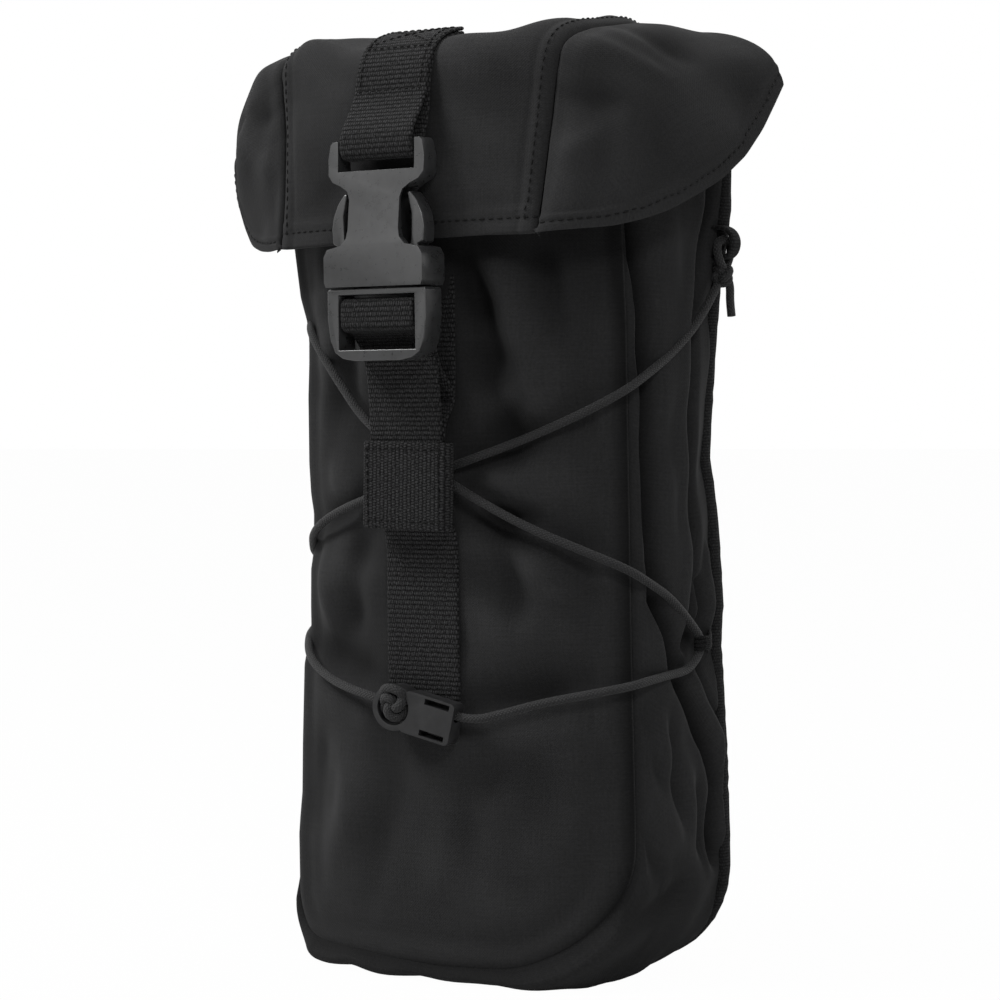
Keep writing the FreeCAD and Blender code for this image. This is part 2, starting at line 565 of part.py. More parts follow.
grip = hook_block(-4.0, 14.0, -6.9, 6.9, hook_half_thick)
grip = grip.makeFillet(1.6, [edge for edge in grip.Edges if abs(edge.CenterOfMass.y) < 0.01])
hook_shape = hook_disc(CUP_RADIUS + CUP_WALL, CUP_X, hook_half_thick).fuse(grip)
cord_radius = size("cord_size") / 2
openings = [hook_disc(CUP_RADIUS, CUP_X, 10)]
openings += [hook_block(3.2, 12.2, z, z + 1.9, 10) for z in (-6.1, 4.2)]
# The cord that is tied in runs in a bore; the one that hooks in lies in a notch open at the back.
BORE_Z = 2.4
openings.append(Part.makeCylinder(cord_radius + 0.35, 11, Vector(5, 0, BORE_Z), Vector(1, 0, 0)))
openings.append(Part.makeBox(8.5, 5, 5.2, Vector(-16.5, -0.9, -3.1)))
for opening in openings:
    hook_shape = hook_shape.cut(opening)
hook = free_shape("cord_hook", hook_shape.removeSplitter())
hook.Placement = hook_place
hook.setExpression("Placement.Base.y", "%s - sizes.hook_middle" % FRAME_Y)

# An overhand knot fills the cup: two turns of cord about its middle.
knot_shape = Part.makeTorus(3.1, 2.2, Vector(), Vector(0, 1, 0))
knot_shape = knot_shape.fuse(Part.makeSphere(3.4)).removeSplitter()
knot = free_shape("hook_knot", knot_shape)
knot.Placement = Placement(hook_place.multVec(Vector(CUP_X, 0, 0)), hook_place.Rotation)
knot.setExpression("Placement.Base.y", "%s - sizes.hook_middle" % FRAME_Y)


# ---------------------------------------------------------------------------- elastic cord
def cord_tube(points, radius):
    """Straight runs joined by tangent arcs, each as large as its two runs allow."""
    corners = [Vector(*point) for point in points]
    edges, radii, start = [], [], corners[0]
    for i in range(1, len(corners) - 1):
        before = corners[i] - corners[i - 1]
        after = corners[i + 1] - corners[i]
        turn_angle = before.getAngle(after)
        reach_back = 0.45 * min(before.Length, after.Length)
        radii.append(reach_back / math.tan(turn_angle / 2))
        into = corners[i] - before.normalize() * reach_back
        away = corners[i] + after.normalize() * reach_back
        bisector = (away + into) * 0.5 - corners[i]
        arc_radius = radii[-1]
        depth = arc_radius / math.cos(turn_angle / 2) - arc_radius
        middle = corners[i] + bisector.normalize() * depth
        edges.append(Part.LineSegment(start, into).toShape())
        edges.append(Part.Arc(into, middle, away).toShape())
        start = away
    edges.append(Part.LineSegment(start, corners[-1]).toShape())
    path = Part.Wire(edges)
    first_run = corners[1] - corners[0]
    section = Part.Wire(Part.makeCircle(radius, corners[0], first_run))
    tube = path.makePipeShell([section], True, False)
    print("  radii", " ".join("%.1f" % value for value in radii),
          "length %.1f" % path.Length,
          "volume ratio %.4f" % (tube.Volume / (math.pi * radius ** 2 * path.Length)))
    return tube


# Each cord starts in a knot on its corner loop, crosses the front behind the webbing, turns round
# its anchor on the far side and comes back along the front to the hook.
right_cord_route = [
    (63.4, -8.4, 200.8), (63.0, -13.6, 194.8), (62.5, -21.0, 187.4), (62.5, -32.0, 180.6),
    (62.5, -43.0, 175.6), (61.6, -54.2, 170.8), (50.0, -60.6, 164.8), (34.0, -66.0, 157.6),
    (17.0, -69.5, 151.8), (0.0, -70.3, 146.4), (-17.0, -69.0, 141.4), (-34.0, -65.6, 136.0),
    (-50.0, -60.0, 129.8), (-61.8, -53.8, 125.0), (-62.8, -43.0, 122.0), (-62.8, -32.0, 119.6),
    (-62.8, -22.0, 117.8), (-62.6, -14.6, 111.4), (-62.8, -22.0, 104.6), (-62.8, -32.0, 102.4),
    (-62.8, -43.0, 100.4), (-61.8, -54.0, 97.4), (-50.0, -60.6, 92.6), (-37.0, -66.2, 87.6),
    (-26.0, -70.2, 85.0), (-18.6, -72.4, 83.8), (-12.1, -72.9, 82.2),
]
left_cord_route = [
    (-63.4, -8.4, 200.8), (-63.0, -13.6, 199.4), (-62.5, -22.0, 198.6), (-62.5, -33.0, 198.0),
    (-62.5, -43.0, 197.2), (-61.6, -54.2, 195.8), (-51.0, -60.2, 191.4), (-41.0, -64.2, 185.0),
    (-30.0, -67.8, 174.4), (-17.0, -72.2, 162.0), (0.0, -73.2, 152.4), (17.0, -72.4, 142.6),
    (34.0, -67.0, 132.8), (50.0, -60.2, 125.6), (61.8, -54.2, 120.4), (62.8, -44.6, 116.2),
    (62.8, -34.0, 111.4), (62.8, -24.5, 104.0), (62.6, -16.9, 97.0), (62.8, -24.5, 90.0),
    (62.8, -34.0, 89.4), (62.8, -44.0, 88.8), (61.8, -54.4, 87.6), (50.0, -60.8, 85.6),
    (38.0, -66.0, 83.2), (28.0, -70.4, 80.2), (19.2, -73.4, 77.9), (10.5, -73.6, 79.9),
]
for label, route in (("right_cord", right_cord_route), ("left_cord", left_cord_route)):
    print(label)
    free_shape(label, cord_tube(route, cord_radius))

# A tape loop sewn in each back seam.  The cord's end is a ring through it, a knot and a short tail.
loop_width, loop_rise = 5.0, 3.8
for side, name in ((1, "right"), (-1, "left")):
    edge = size("half_width") + 0.3
    height = size("loop_height")
    loop_section = [(edge, height - loop_rise), (edge + 4.0, height - loop_rise),
                    (edge + 6.2, height - 2.6), (edge + 7.2, height - 0.6), (edge + 7.2, height + 0.6),
                    (edge + 6.2, height + 2.6), (edge + 4.0, height + loop_rise),
                    (edge, height + loop_rise)]
    outline_points = offset_path(loop_section, 0.5) + offset_path(loop_section, -0.5)[::-1]
    corners = [Vector(side * x, -loop_width - 2.5, z) for x, z in outline_points]
    tape = Part.Face(Part.makePolygon(corners + corners[:1])).extrude(Vector(0, loop_width, 0))
    free_shape(name + "_corner_loop", tape)
    ring_middle = Vector(side * (edge + 3.4), -loop_width / 2 - 2.5, height - loop_rise)
    ring_radius = loop_width / 2 + cord_radius + 0.25
    knot_middle = ring_middle + Vector(0, 0, -ring_radius - 2.6)
    cord_end = Part.makeTorus(ring_radius, cord_radius, ring_middle, Vector(1, 0, 0))
    cord_end = cord_end.fuse(Part.makeTorus(2.0, cord_radius, knot_middle, Vector(0, 0, 1)))
    cord_end = cord_end.fuse(Part.makeSphere(2.3, knot_middle))
    tail = Part.makeCylinder(cord_radius, 12, knot_middle + Vector(side * 0.6, 2.0, 0), Vector(0, 0, -1))
    free_shape(name + "_cord_knot", cord_end.fuse(tail).removeSplitter())

# A narrow tape eye round each cord where it turns on the gusset.
eye_radius = cord_radius + size("anchor_play")
EYE_HEIGHT = 3.0
for side, name, middle_y, middle_z in ((1, "right", -18.9, 97.0), (-1, "left", -16.6, 111.4)):
    eye_x = size("half_width") + 2.7
    eye_low = middle_z - EYE_HEIGHT / 2
    ring = Part.makeCylinder(eye_radius + 0.7, EYE_HEIGHT, Vector(side * eye_x, middle_y, eye_low))
    root_low = side * (size("half_width") + 0.3)
    root_high = side * (size("half_width") + 1.7)
    root = Part.makeBox(1.4, 12, EYE_HEIGHT, Vector(min(root_low, root_high), middle_y, eye_low))
    bore = Part.makeCylinder(eye_radius, EYE_HEIGHT + 2, Vector(side * eye_x, middle_y, eye_low - 1))
    eye = ring.fuse(root).cut(bore)
    free_shape(name + "_side_anchor", eye.removeSplitter())


# ---------------------------------------------------------------------------- check and write
doc.recompute()
for feature in doc.Objects:
    if "Invalid" in feature.State or "Error" in feature.State:
        raise RuntimeError("%s failed: %s" % (feature.Label, feature.State))
os.makedirs("parts", exist_ok=True)
for feature in nodes:
    shape = feature.Shape
    if shape.isNull() or not shape.isValid() or not shape.Solids:
        raise RuntimeError(feature.Label + " has no valid solid")
    shape.exportStep("parts/%s.step" % feature.Label)
whole = Part.makeCompound([feature.Shape for feature in nodes]).BoundBox
print("%d nodes, x %.1f..%.1f y %.1f..%.1f z %.1f..%.1f" % (
    len(nodes), whole.XMin, whole.XMax, whole.YMin, whole.YMax, whole.ZMin, whole.ZMax))
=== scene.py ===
"""Flap-top utility pouch in black fabric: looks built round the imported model."""

import math

import bmesh
import bpy
import numpy as np
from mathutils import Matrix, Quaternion, Vector


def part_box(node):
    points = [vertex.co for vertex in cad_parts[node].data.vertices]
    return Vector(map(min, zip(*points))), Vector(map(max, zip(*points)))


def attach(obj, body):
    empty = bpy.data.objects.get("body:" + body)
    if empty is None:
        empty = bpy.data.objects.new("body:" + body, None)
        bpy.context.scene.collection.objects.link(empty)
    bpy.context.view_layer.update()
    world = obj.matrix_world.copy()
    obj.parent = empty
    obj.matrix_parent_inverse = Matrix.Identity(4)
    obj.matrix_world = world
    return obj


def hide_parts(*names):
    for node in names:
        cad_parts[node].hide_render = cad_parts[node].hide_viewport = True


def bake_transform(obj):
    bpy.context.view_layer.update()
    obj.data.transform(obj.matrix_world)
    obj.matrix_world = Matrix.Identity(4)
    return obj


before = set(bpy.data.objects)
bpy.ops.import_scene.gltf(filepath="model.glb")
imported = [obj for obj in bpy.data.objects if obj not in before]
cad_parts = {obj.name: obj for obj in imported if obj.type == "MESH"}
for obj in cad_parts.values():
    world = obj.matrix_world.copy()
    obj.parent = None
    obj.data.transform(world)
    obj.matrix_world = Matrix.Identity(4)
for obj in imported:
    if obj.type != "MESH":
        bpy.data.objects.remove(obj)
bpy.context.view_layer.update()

# ------------------------------------------------------------------------------ studio
# A pale table in a white room.  A soft lamp stands high in front and to the left, weaker ones stand
# to the right and overhead, and the room itself fills the shadows a little.
scene = bpy.context.scene
scene.view_settings.view_transform = "Standard"


def in_scene(name, data):
    """A new object that holds the data, linked to the scene."""
    made = bpy.data.objects.new(name, data)
    scene.collection.objects.link(made)
    return made


room = bpy.data.worlds.new("white_room")
scene.world = room
room.use_nodes = True
nodes, links = room.node_tree.nodes, room.node_tree.links
nodes.clear()
seen_path = nodes.new("ShaderNodeLightPath")
seen_any_way = seen_path.outputs["Is Camera Ray"]
for ray in ("Is Transmission Ray", "Is Glossy Ray"):
    either = nodes.new("ShaderNodeMath")
    either.operation = "ADD"
    either.use_clamp = True
    links.new(seen_any_way, either.inputs[0])
    links.new(seen_path.outputs[ray], either.inputs[1])
    seen_any_way = either.outputs[0]
room_light = nodes.new("ShaderNodeBackground")
room_light.inputs["Strength"].default_value = 0.08
room_white = nodes.new("ShaderNodeBackground")
room_white.inputs["Color"].default_value = (1, 1, 1, 1)
room_mix = nodes.new("ShaderNodeMixShader")
room_output = nodes.new("ShaderNodeOutputWorld")
links.new(seen_any_way, room_mix.inputs["Fac"])
links.new(room_light.outputs[0], room_mix.inputs[1])
links.new(room_white.outputs[0], room_mix.inputs[2])
links.new(room_mix.outputs[0], room_output.inputs["Surface"])


def soft_lamp(name, place, aim, width, power):
    lamp = in_scene(name, bpy.data.lights.new(name, "AREA"))
    lamp.data.shape = "RECTANGLE"
    lamp.data.size, lamp.data.size_y = width
    lamp.data.energy = power
    lamp.location = place
    lamp.rotation_euler = (Vector(aim) - Vector(place)).to_track_quat("-Z", "Y").to_euler()


soft_lamp("front_left_lamp", (-0.80, -0.70, 1.35), (0, 0, 0.14), (0.5, 0.5), 16)
soft_lamp("right_lamp", (1.05, -1.00, 0.95), (0, 0, 0.14), (0.3, 0.3), 5)
soft_lamp("top_lamp", (0.2, 0.1, 1.5), (0, 0, 0.15), (0.8, 0.6), 5)

table_mesh = bpy.data.meshes.new("table_top")
table_mesh.from_pydata([(-6, -6, 0), (6, -6, 0), (6, 6, 0), (-6, 6, 0)], [], [(0, 1, 2, 3)])
table_top = in_scene("table_top", table_mesh)
table_paint = bpy.data.materials.new("white_table")
table_paint.use_nodes = True
nodes, links = table_paint.node_tree.nodes, table_paint.node_tree.links
nodes.clear()
seen_path = nodes.new("ShaderNodeLightPath")
table_share = nodes.new("ShaderNodeMath")
table_share.operation = "MULTIPLY"
table_share.inputs[1].default_value = 0.985
links.new(seen_path.outputs["Is Camera Ray"], table_share.inputs[0])
table_matt = nodes.new("ShaderNodeBsdfDiffuse")
table_matt.inputs["Color"].default_value = (0.86, 0.86, 0.86, 1)
table_white = nodes.new("ShaderNodeEmission")
table_mix = nodes.new("ShaderNodeMixShader")
table_output = nodes.new("ShaderNodeOutputMaterial")
links.new(table_share.outputs[0], table_mix.inputs["Fac"])
links.new(table_matt.outputs[0], table_mix.inputs[1])
links.new(table_white.outputs[0], table_mix.inputs[2])
links.new(table_mix.outputs[0], table_output.inputs["Surface"])
table_top.data.materials.append(table_paint)

AZIMUTH, ELEVATION, ROLL = math.radians(33.75), math.radians(2.42), math.radians(0.83)
CAMERA_DISTANCE = 0.896
camera = in_scene("camera", bpy.data.cameras.new("camera"))
toward_camera = Vector((math.sin(AZIMUTH) * math.cos(ELEVATION),
                        -math.cos(AZIMUTH) * math.cos(ELEVATION), math.sin(ELEVATION)))
camera.location = Vector((0, 0.02015, 0.135)) + toward_camera * CAMERA_DISTANCE
camera.rotation_mode = "QUATERNION"
camera.rotation_quaternion = toward_camera.to_track_quat("Z", "Y") @ Quaternion((0, 0, 1), -ROLL)
camera.data.lens = 107.8
camera.data.shift_x = -0.0077
camera.data.shift_y = 0.0115
camera.data.clip_start = 0.05
scene.camera = camera

# ------------------------------------------------------------------------------ elastic cords
# Two round elastic cords, 2.5 mm thick, with a braided sheath.  Each is knotted at an upper back
# corner, crosses the front behind the webbing, turns at a tape eye on the far side and comes back.
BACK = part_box("back_panel")[1].y
CORD_RADIUS = 0.00125
right_cord_route = [
    (0.0634, -0.0084, 0.2008), (0.0630, -0.0136, 0.1948), (0.0618, -0.0210, 0.1874),
    (0.0612, -0.0320, 0.1806), (0.0606, -0.0430, 0.1756), (0.0590, -0.0528, 0.1708),
    (0.0500, -0.0606, 0.1648), (0.0340, -0.0660, 0.1576), (0.0170, -0.0695, 0.1518),
    (0.0000, -0.0703, 0.1464), (-0.0170, -0.0690, 0.1414), (-0.0340, -0.0652, 0.1362),
    (-0.0460, -0.0606, 0.1304), (-0.0544, -0.0498, 0.1246), (-0.0582, -0.0430, 0.1220),
    (-0.0600, -0.0320, 0.1196), (-0.0606, -0.0220, 0.1178), (-0.0606, -0.0146, 0.1114),
    (-0.0608, -0.0220, 0.1046), (-0.0606, -0.0320, 0.1024), (-0.0592, -0.0430, 0.1002),
    (-0.0560, -0.0510, 0.0974), (-0.0480, -0.0608, 0.0920), (-0.0370, -0.0662, 0.0872),
    (-0.0260, -0.0702, 0.0848), (-0.0186, -0.0724, 0.0838), (-0.0121, -0.0729, 0.0822),
]
left_cord_route = [
    (-0.0634, -0.0084, 0.2008), (-0.0630, -0.0136, 0.1994), (-0.0618, -0.0220, 0.1986),
    (-0.0600, -0.0320, 0.1962), (-0.0577, -0.0410, 0.1945), (-0.0540, -0.0490, 0.1930),
    (-0.0474, -0.0586, 0.1900), (-0.0404, -0.0640, 0.1845), (-0.0300, -0.0680, 0.1744),
    (-0.0170, -0.0722, 0.1620), (0.0000, -0.0732, 0.1524), (0.0170, -0.0724, 0.1426),
    (0.0340, -0.0670, 0.1328), (0.0500, -0.0602, 0.1256), (0.0596, -0.0530, 0.1204),
    (0.0612, -0.0446, 0.1162), (0.0616, -0.0340, 0.1114), (0.0622, -0.0245, 0.1040),
    (0.0626, -0.0169, 0.0970), (0.0622, -0.0245, 0.0900), (0.0616, -0.0340, 0.0894),
    (0.0612, -0.0440, 0.0888), (0.0596, -0.0532, 0.0876), (0.0500, -0.0604, 0.0856),
    (0.0380, -0.0660, 0.0832), (0.0280, -0.0704, 0.0802), (0.0192, -0.0734, 0.0779),
    (0.0130, -0.0736, 0.0793),
]


def new_mesh(name, vertices, faces, uv=None, smooth=True, wear_and_painted_shade=None):
    """A plain mesh object in the frame; uv gives each vertex its place on the cloth, in metres, and the
    last argument scales the cloth's colour with painted light and shade: 1 is plain cloth, more is a
    painted highlight on a ridge, and less is painted shade in a hollow, along a seam, under the lid and near
    the base."""
    mesh = bpy.data.meshes.new(name)
    mesh.from_pydata([tuple(v) for v in vertices], [], [tuple(f) for f in faces])
    if uv is not None:
        layer = mesh.uv_layers.new(name="UVMap")
        corners = np.zeros(len(mesh.loops), np.int32)
        mesh.loops.foreach_get("vertex_index", corners)
        layer.data.foreach_set("uv", np.asarray(uv, np.float32)[corners].ravel())
    # Painted light and shade, stored per vertex to scale the cloth's colour.
    if wear_and_painted_shade is not None:
        painted_shade_attribute = mesh.attributes.new("wear_and_painted_shade", "FLOAT", "POINT")
        painted_shade_attribute.data.foreach_set("value", np.asarray(wear_and_painted_shade, np.float32).ravel())
    mesh.polygons.foreach_set("use_smooth", [smooth] * len(mesh.polygons))
    mesh.update()
    return in_scene(name, mesh)


def evaluated_mesh(piece):
    """The mesh that a piece has once its curve or its modifiers are worked out."""
    bpy.context.view_layer.update()
    return bpy.data.meshes.new_from_object(piece.evaluated_get(bpy.context.evaluated_depsgraph_get()))


def face_outwards(piece, weld=False):
    """Turns a closed piece's faces outwards, after joining the points that meet."""
    work = bmesh.new()
    work.from_mesh(piece.data)
    if weld:
        bmesh.ops.remove_doubles(work, verts=work.verts, dist=1e-7)
    bmesh.ops.recalc_face_normals(work, faces=work.faces)
    work.to_mesh(piece.data)
    work.free()


def run_along(points):
    """The distance along a line at each of its points."""
    return np.concatenate([[0], np.cumsum(np.linalg.norm(np.diff(points, axis=0), axis=1))])


def directions(line):
    """The direction of a line at each of its points, of length 1."""
    steps = np.gradient(line, axis=0)
    return steps / np.linalg.norm(steps, axis=1)[:, None]


def spline_points(route, offset_y=BACK, resolution=10):
    """The points of the smooth line that a NURBS spline draws through a route."""
    curve = bpy.data.curves.new("route", "CURVE")
    curve.dimensions = "3D"
    curve.resolution_u = resolution
    spline = curve.splines.new("NURBS")
    spline.points.add(len(route) - 1)
    for point, (x, y, z) in zip(spline.points, route):
        point.co = (x, y + offset_y, z, 1)
    spline.order_u = 3
    spline.use_endpoint_u = True
    holder = in_scene("route", curve)
    line = evaluated_mesh(holder)
    points = np.array([v.co for v in line.vertices], float)
    bpy.data.objects.remove(holder)
    bpy.data.meshes.remove(line)
    return points


def even_points(points, spacing):
    """The same line with its points a set distance apart."""
    along = run_along(points)
    count = max(int(round(along[-1] / spacing)), 2)
    wanted = np.linspace(0, along[-1], count + 1)
    return np.stack([np.interp(wanted, along, points[:, k]) for k in range(3)], axis=1)


def round_tube(name, points, radius, sides=14, closed=False):
    """A round tube along points, its UV running along and round it in metres."""
    points = np.asarray(points, float)
    count = len(points)
    if closed:
        tangents = np.roll(points, -1, 0) - np.roll(points, 1, 0)
    else:
        tangents = np.gradient(points, axis=0)
    tangents /= np.linalg.norm(tangents, axis=1)[:, None]
    side = np.cross(tangents[0], (0.31, 0.27, 0.91))
    rings = []
    for i in range(count):
        side = side - tangents[i] * side.dot(tangents[i])
        side /= np.linalg.norm(side)
        rings.append((side.copy(), np.cross(tangents[i], side)))
    twist = 0.0
    if closed:
        last = rings[-1][0] - tangents[0] * rings[-1][0].dot(tangents[0])
        twist = math.atan2(last.dot(rings[0][1]), last.dot(rings[0][0]))
    lengths = run_along(points)
    vertices, uv, faces = [], [], []
    for i, (u_dir, v_dir) in enumerate(rings):
        for k in range(sides + 1):
            angle = 2 * math.pi * k / sides - twist * i / count
            vertices.append(points[i] + radius * (u_dir * math.cos(angle) + v_dir * math.sin(angle)))
            uv.append((lengths[i], radius * 2 * math.pi * k / sides))
    row = sides + 1
    for i in range(count if closed else count - 1):
        j = (i + 1) % count
        for k in range(sides):
            faces.append((i * row + k, i * row + k + 1, j * row + k + 1, j * row + k))
    if not closed:
        faces.append(tuple(range(sides - 1, -1, -1)))
        faces.append(tuple((count - 1) * row + k for k in range(sides)))
    tube = new_mesh(name, vertices, faces, uv)
    face_outwards(tube, weld=True)
    return tube


def new_group(name, inputs, outputs):
    """An empty shader node group with its sockets: (name, kind, default) in, (name, kind) out."""
    group = bpy.data.node_groups.new(name, "ShaderNodeTree")
    for label, kind, default in inputs:
        socket = group.interface.new_socket(label, in_out="INPUT", socket_type=kind)
        if default is not None:
            socket.default_value = default
    for label, kind in outputs:
        group.interface.new_socket(label, in_out="OUTPUT", socket_type=kind)
    return group, group.nodes.new("NodeGroupInput"), group.nodes.new("NodeGroupOutput")


def maths(tree, operation, *values):
    """One Math node; a value is a number or a socket."""
    node = tree.nodes.new("ShaderNodeMath")
    node.operation = operation
    for slot_number, value in enumerate(values):
        if isinstance(value, (int, float)):
            node.inputs[slot_number].default_value = value
        else:
            tree.links.new(value, node.inputs[slot_number])
    return node.outputs[0]


def split_vector(tree, vector):
    """The X, Y and Z of a vector, as sockets."""
    node = tree.nodes.new("ShaderNodeSeparateXYZ")
    tree.links.new(vector, node.inputs[0])
    return node.outputs


def object_place(tree):
    """Where a point of the surface lies on its own piece."""
    return tree.nodes.new("ShaderNodeTexCoord").outputs["Object"]


def half_waves(tree, value):
    """A row of round humps, one for each whole step of the value."""
    return maths(tree, "ABSOLUTE", maths(tree, "SINE", maths(tree, "MULTIPLY", value, math.pi)))


def noise(tree, vector, scale, detail=3.0, roughness=0.55):
    """Soft noise from 0 to 1."""
    node = tree.nodes.new("ShaderNodeTexNoise")
    node.inputs["Scale"].default_value = scale
    node.inputs["Detail"].default_value = detail
    node.inputs["Roughness"].default_value = roughness
    tree.links.new(vector, node.inputs["Vector"])
    return node.outputs["Fac"]


def graded(tree, value, low_colour, high_colour, low=0.0, high=1.0):
    """A colour ramp with two stops."""
    ramp = tree.nodes.new("ShaderNodeValToRGB")
    ramp.color_ramp.elements[0].position = low
    ramp.color_ramp.elements[1].position = high
    ramp.color_ramp.elements[0].color = (*low_colour, 1)
    ramp.color_ramp.elements[1].color = (*high_colour, 1)
    tree.links.new(value, ramp.inputs["Fac"])
    return ramp.outputs["Color"]


def surface_material(name, roughness, sheen=0.0, sheen_roughness=0.5, specular=0.5):
    """A Principled material with its constants on the shader; returns it, its tree and its shader."""
    made = bpy.data.materials.new(name)
    made.use_nodes = True
    shader = made.node_tree.nodes["Principled BSDF"]
    shader.inputs["Roughness"].default_value = roughness
    shader.inputs["Specular IOR Level"].default_value = specular
    shader.inputs["Sheen Weight"].default_value = sheen
    shader.inputs["Sheen Roughness"].default_value = sheen_roughness
    return made, made.node_tree, shader


def bump(tree, shader, height, distance, strength=1.0):
    node = tree.nodes.new("ShaderNodeBump")
    node.inputs["Distance"].default_value = distance
    node.inputs["Strength"].default_value = strength
    tree.links.new(height, node.inputs["Height"])
    tree.links.new(node.outputs["Normal"], shader.inputs["Normal"])


# The sheath: two sets of strands wound opposite ways, over and under each other.
cord_cloth, tree, shader = surface_material("cord_sheath", 0.66, sheen=0.08, specular=0.3)
cord_uv = tree.nodes.new("ShaderNodeUVMap")
cord_uv.uv_map = "UVMap"
STRAND_PITCH, STRANDS = 0.0011, 8
cord_along, cord_around, _ = split_vector(tree, cord_uv.outputs[0])
around = maths(tree, "MULTIPLY", cord_around, STRANDS / (2 * math.pi * CORD_RADIUS))
along = maths(tree, "MULTIPLY", cord_along, 1 / STRAND_PITCH)
strand_left = half_waves(tree, maths(tree, "ADD", along, around))
strand_right = half_waves(tree, maths(tree, "SUBTRACT", along, around))
braid = maths(tree, "MULTIPLY", strand_left, strand_right)
cord_dust = noise(tree, object_place(tree), 900, 2)
# The colour is darker where the strands dip, painted shade between them, plus a random speckle.
braid_shade_and_speckle = maths(tree, "ADD", maths(tree, "MULTIPLY", braid, 0.7), maths(tree, "MULTIPLY", cord_dust, 0.45))
tree.links.new(graded(tree, braid_shade_and_speckle, (0.007, 0.007, 0.0072), (0.027, 0.027, 0.028), 0.15, 0.95),
               shader.inputs["Base Color"])
bump(tree, shader, braid, 0.00022, 0.9)

for name, route in (("right_cord", right_cord_route), ("left_cord", left_cord_route)):
    points = even_points(spline_points(route), 0.0009)
    sheath = round_tube(name + "_sheath", points, CORD_RADIUS)
    sheath.data.materials.append(cord_cloth)
    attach(sheath, "pouch")
    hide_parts(name)

# ------------------------------------------------------------------------------ front panel
# The front is one piece of coated nylon cloth, filled out by the load, with its edge turned in
# and sewn to the gusset all round.  The cords draw soft slanting creases across it.
MM = 0.001
# Thickness of the cloth of each kind of panel, in metres.
PANEL_THICK, GUSSET_THICK, LID_THICK = 0.0012, 0.0009, 0.0015
HALF = 60.0
FRONT_BOTTOM, MOUTH = 4.5, 262.0
FRONT_CORNERS = {"left": 17.0, "right": 37.0}
FRONT_EDGES = {
    "left": [(0, 62.6), (20, 63.0), (37, 63.0), (42, 62.5), (50, 61.5), (65, 61.0), (89, 59.8), (95, 58.3),
             (101, 56.9), (107, 56.9), (118, 56.6), (124, 55.4), (135, 55.1), (141, 56.1), (150, 56.6),
             (170, 56.5), (180, 55.9), (187, 55.7), (193, 56.4), (200, 58.6), (216, 60.8), (262, 59.8)],
    "right": [(0, 56.6), (50, 56.6), (97, 56.0), (130, 55.9), (190, 55.6), (217, 54.7), (262, 54.7)],
}
SIDE_DEPTH, FRONT_BULGE = 50.0, 18.5
front_radius = (HALF ** 2 + FRONT_BULGE ** 2) / (2 * FRONT_BULGE)


def placed(points):
    """Pouch millimetres, with Y = 0 at the back panel's outside, as points in the frame."""
    points = np.asarray(points, float) * MM
    points[..., 1] += BACK
    return points


def smoothstep(value, low, high):
    t = np.clip((value - low) / (high - low), 0, 1)
    return t * t * (3 - 2 * t)


def creases(u, v, lines):
    """Soft ridges or hollows along straight lines: (u1, v1, u2, v2, width, height), faded at both ends."""
    total = np.zeros_like(u)
    for u1, v1, u2, v2, width, height in lines:
        du, dv = u2 - u1, v2 - v1
        length = math.hypot(du, dv)
        t = ((u - u1) * du + (v - v1) * dv) / length ** 2
        away = ((u - u1) * dv - (v - v1) * du) / length
        fade = smoothstep(t, -0.15, 0.25) * (1 - smoothstep(t, 0.7, 1.15))
        total += height * np.exp(-(away / width) ** 2) * fade
    return total


def hump(value, middle, width):
    """A smooth bump of height 1 about a middle value."""
    return np.exp(-((value - middle) / width) ** 2)


def cloth_waves(u, v, seed, size, height):
    """Slow unevenness of a filled cloth wall: a fixed sum of sine waves."""
    rng = np.random.default_rng(seed)
    total = np.zeros_like(u)
    for _ in range(9):
        angle, phase = rng.uniform(0, 2 * math.pi, 2)
        length = size * rng.uniform(0.6, 1.7)
        total += np.sin(2 * math.pi * (u * math.cos(angle) + v * math.sin(angle)) / length + phase)
    return total * height / 3


def grid_faces(rows, columns, flip=False):
    i, j = np.meshgrid(np.arange(rows - 1), np.arange(columns - 1), indexing="ij")
    a = (i * columns + j).ravel()
    quads = np.stack([a, a + 1, a + columns + 1, a + columns], axis=1)
    return quads[:, ::-1] if flip else quads


def height_grid(bottom, rows, columns):
    """The heights of an upright panel's grid, its rows closer together near the base."""
    level = np.linspace(0, 1, rows)
    z_rows = bottom + (MOUTH - bottom) * (0.35 * level ** 2 + 0.65 * level)
    return np.repeat(z_rows[:, None], columns, 1)


def bunched(count, amount):
    """Places from -1 to 1, closer together near both ends."""
    return np.sin(np.linspace(-1, 1, count) * math.pi / 2 * amount) / math.sin(math.pi / 2 * amount)


def cloth_uv(across_mm, along_mm):
    """Each point's place on the cloth, in metres."""
    return np.stack([across_mm, along_mm], axis=-1).reshape(-1, 2) * MM


def half_at(z, knots):
    """Half width at a height, read between (z, half width) knots."""
    return np.interp(z, [k[0] for k in knots], [k[1] for k in knots])


def panel_edge(z, knots, bottom, corner):
    """Distance of a panel's sewn edge from the middle, round its bottom corner."""
    drop = np.clip(corner - (z - bottom), 0, corner)
    return half_at(z, knots) - corner + np.sqrt(np.clip(corner ** 2 - drop ** 2, 0, None))


def seam_distance(x, z):
    """How far a point of the front is inside its sewn edge."""
    half = np.where(x > 0, half_at(z, FRONT_EDGES["right"]), half_at(z, FRONT_EDGES["left"]))
    corner = np.where(x > 0, FRONT_CORNERS["right"], FRONT_CORNERS["left"])
    corner_x, corner_z = half - corner, FRONT_BOTTOM + corner
    in_corner = (np.abs(x) > corner_x) & (z < corner_z)
    radial = corner - np.hypot(np.abs(x) - corner_x, z - corner_z)
    straight = np.minimum(half - np.abs(x), np.where(np.abs(x) > corner_x, 1e9, z - FRONT_BOTTOM))
    return np.where(in_corner, radial, straight)


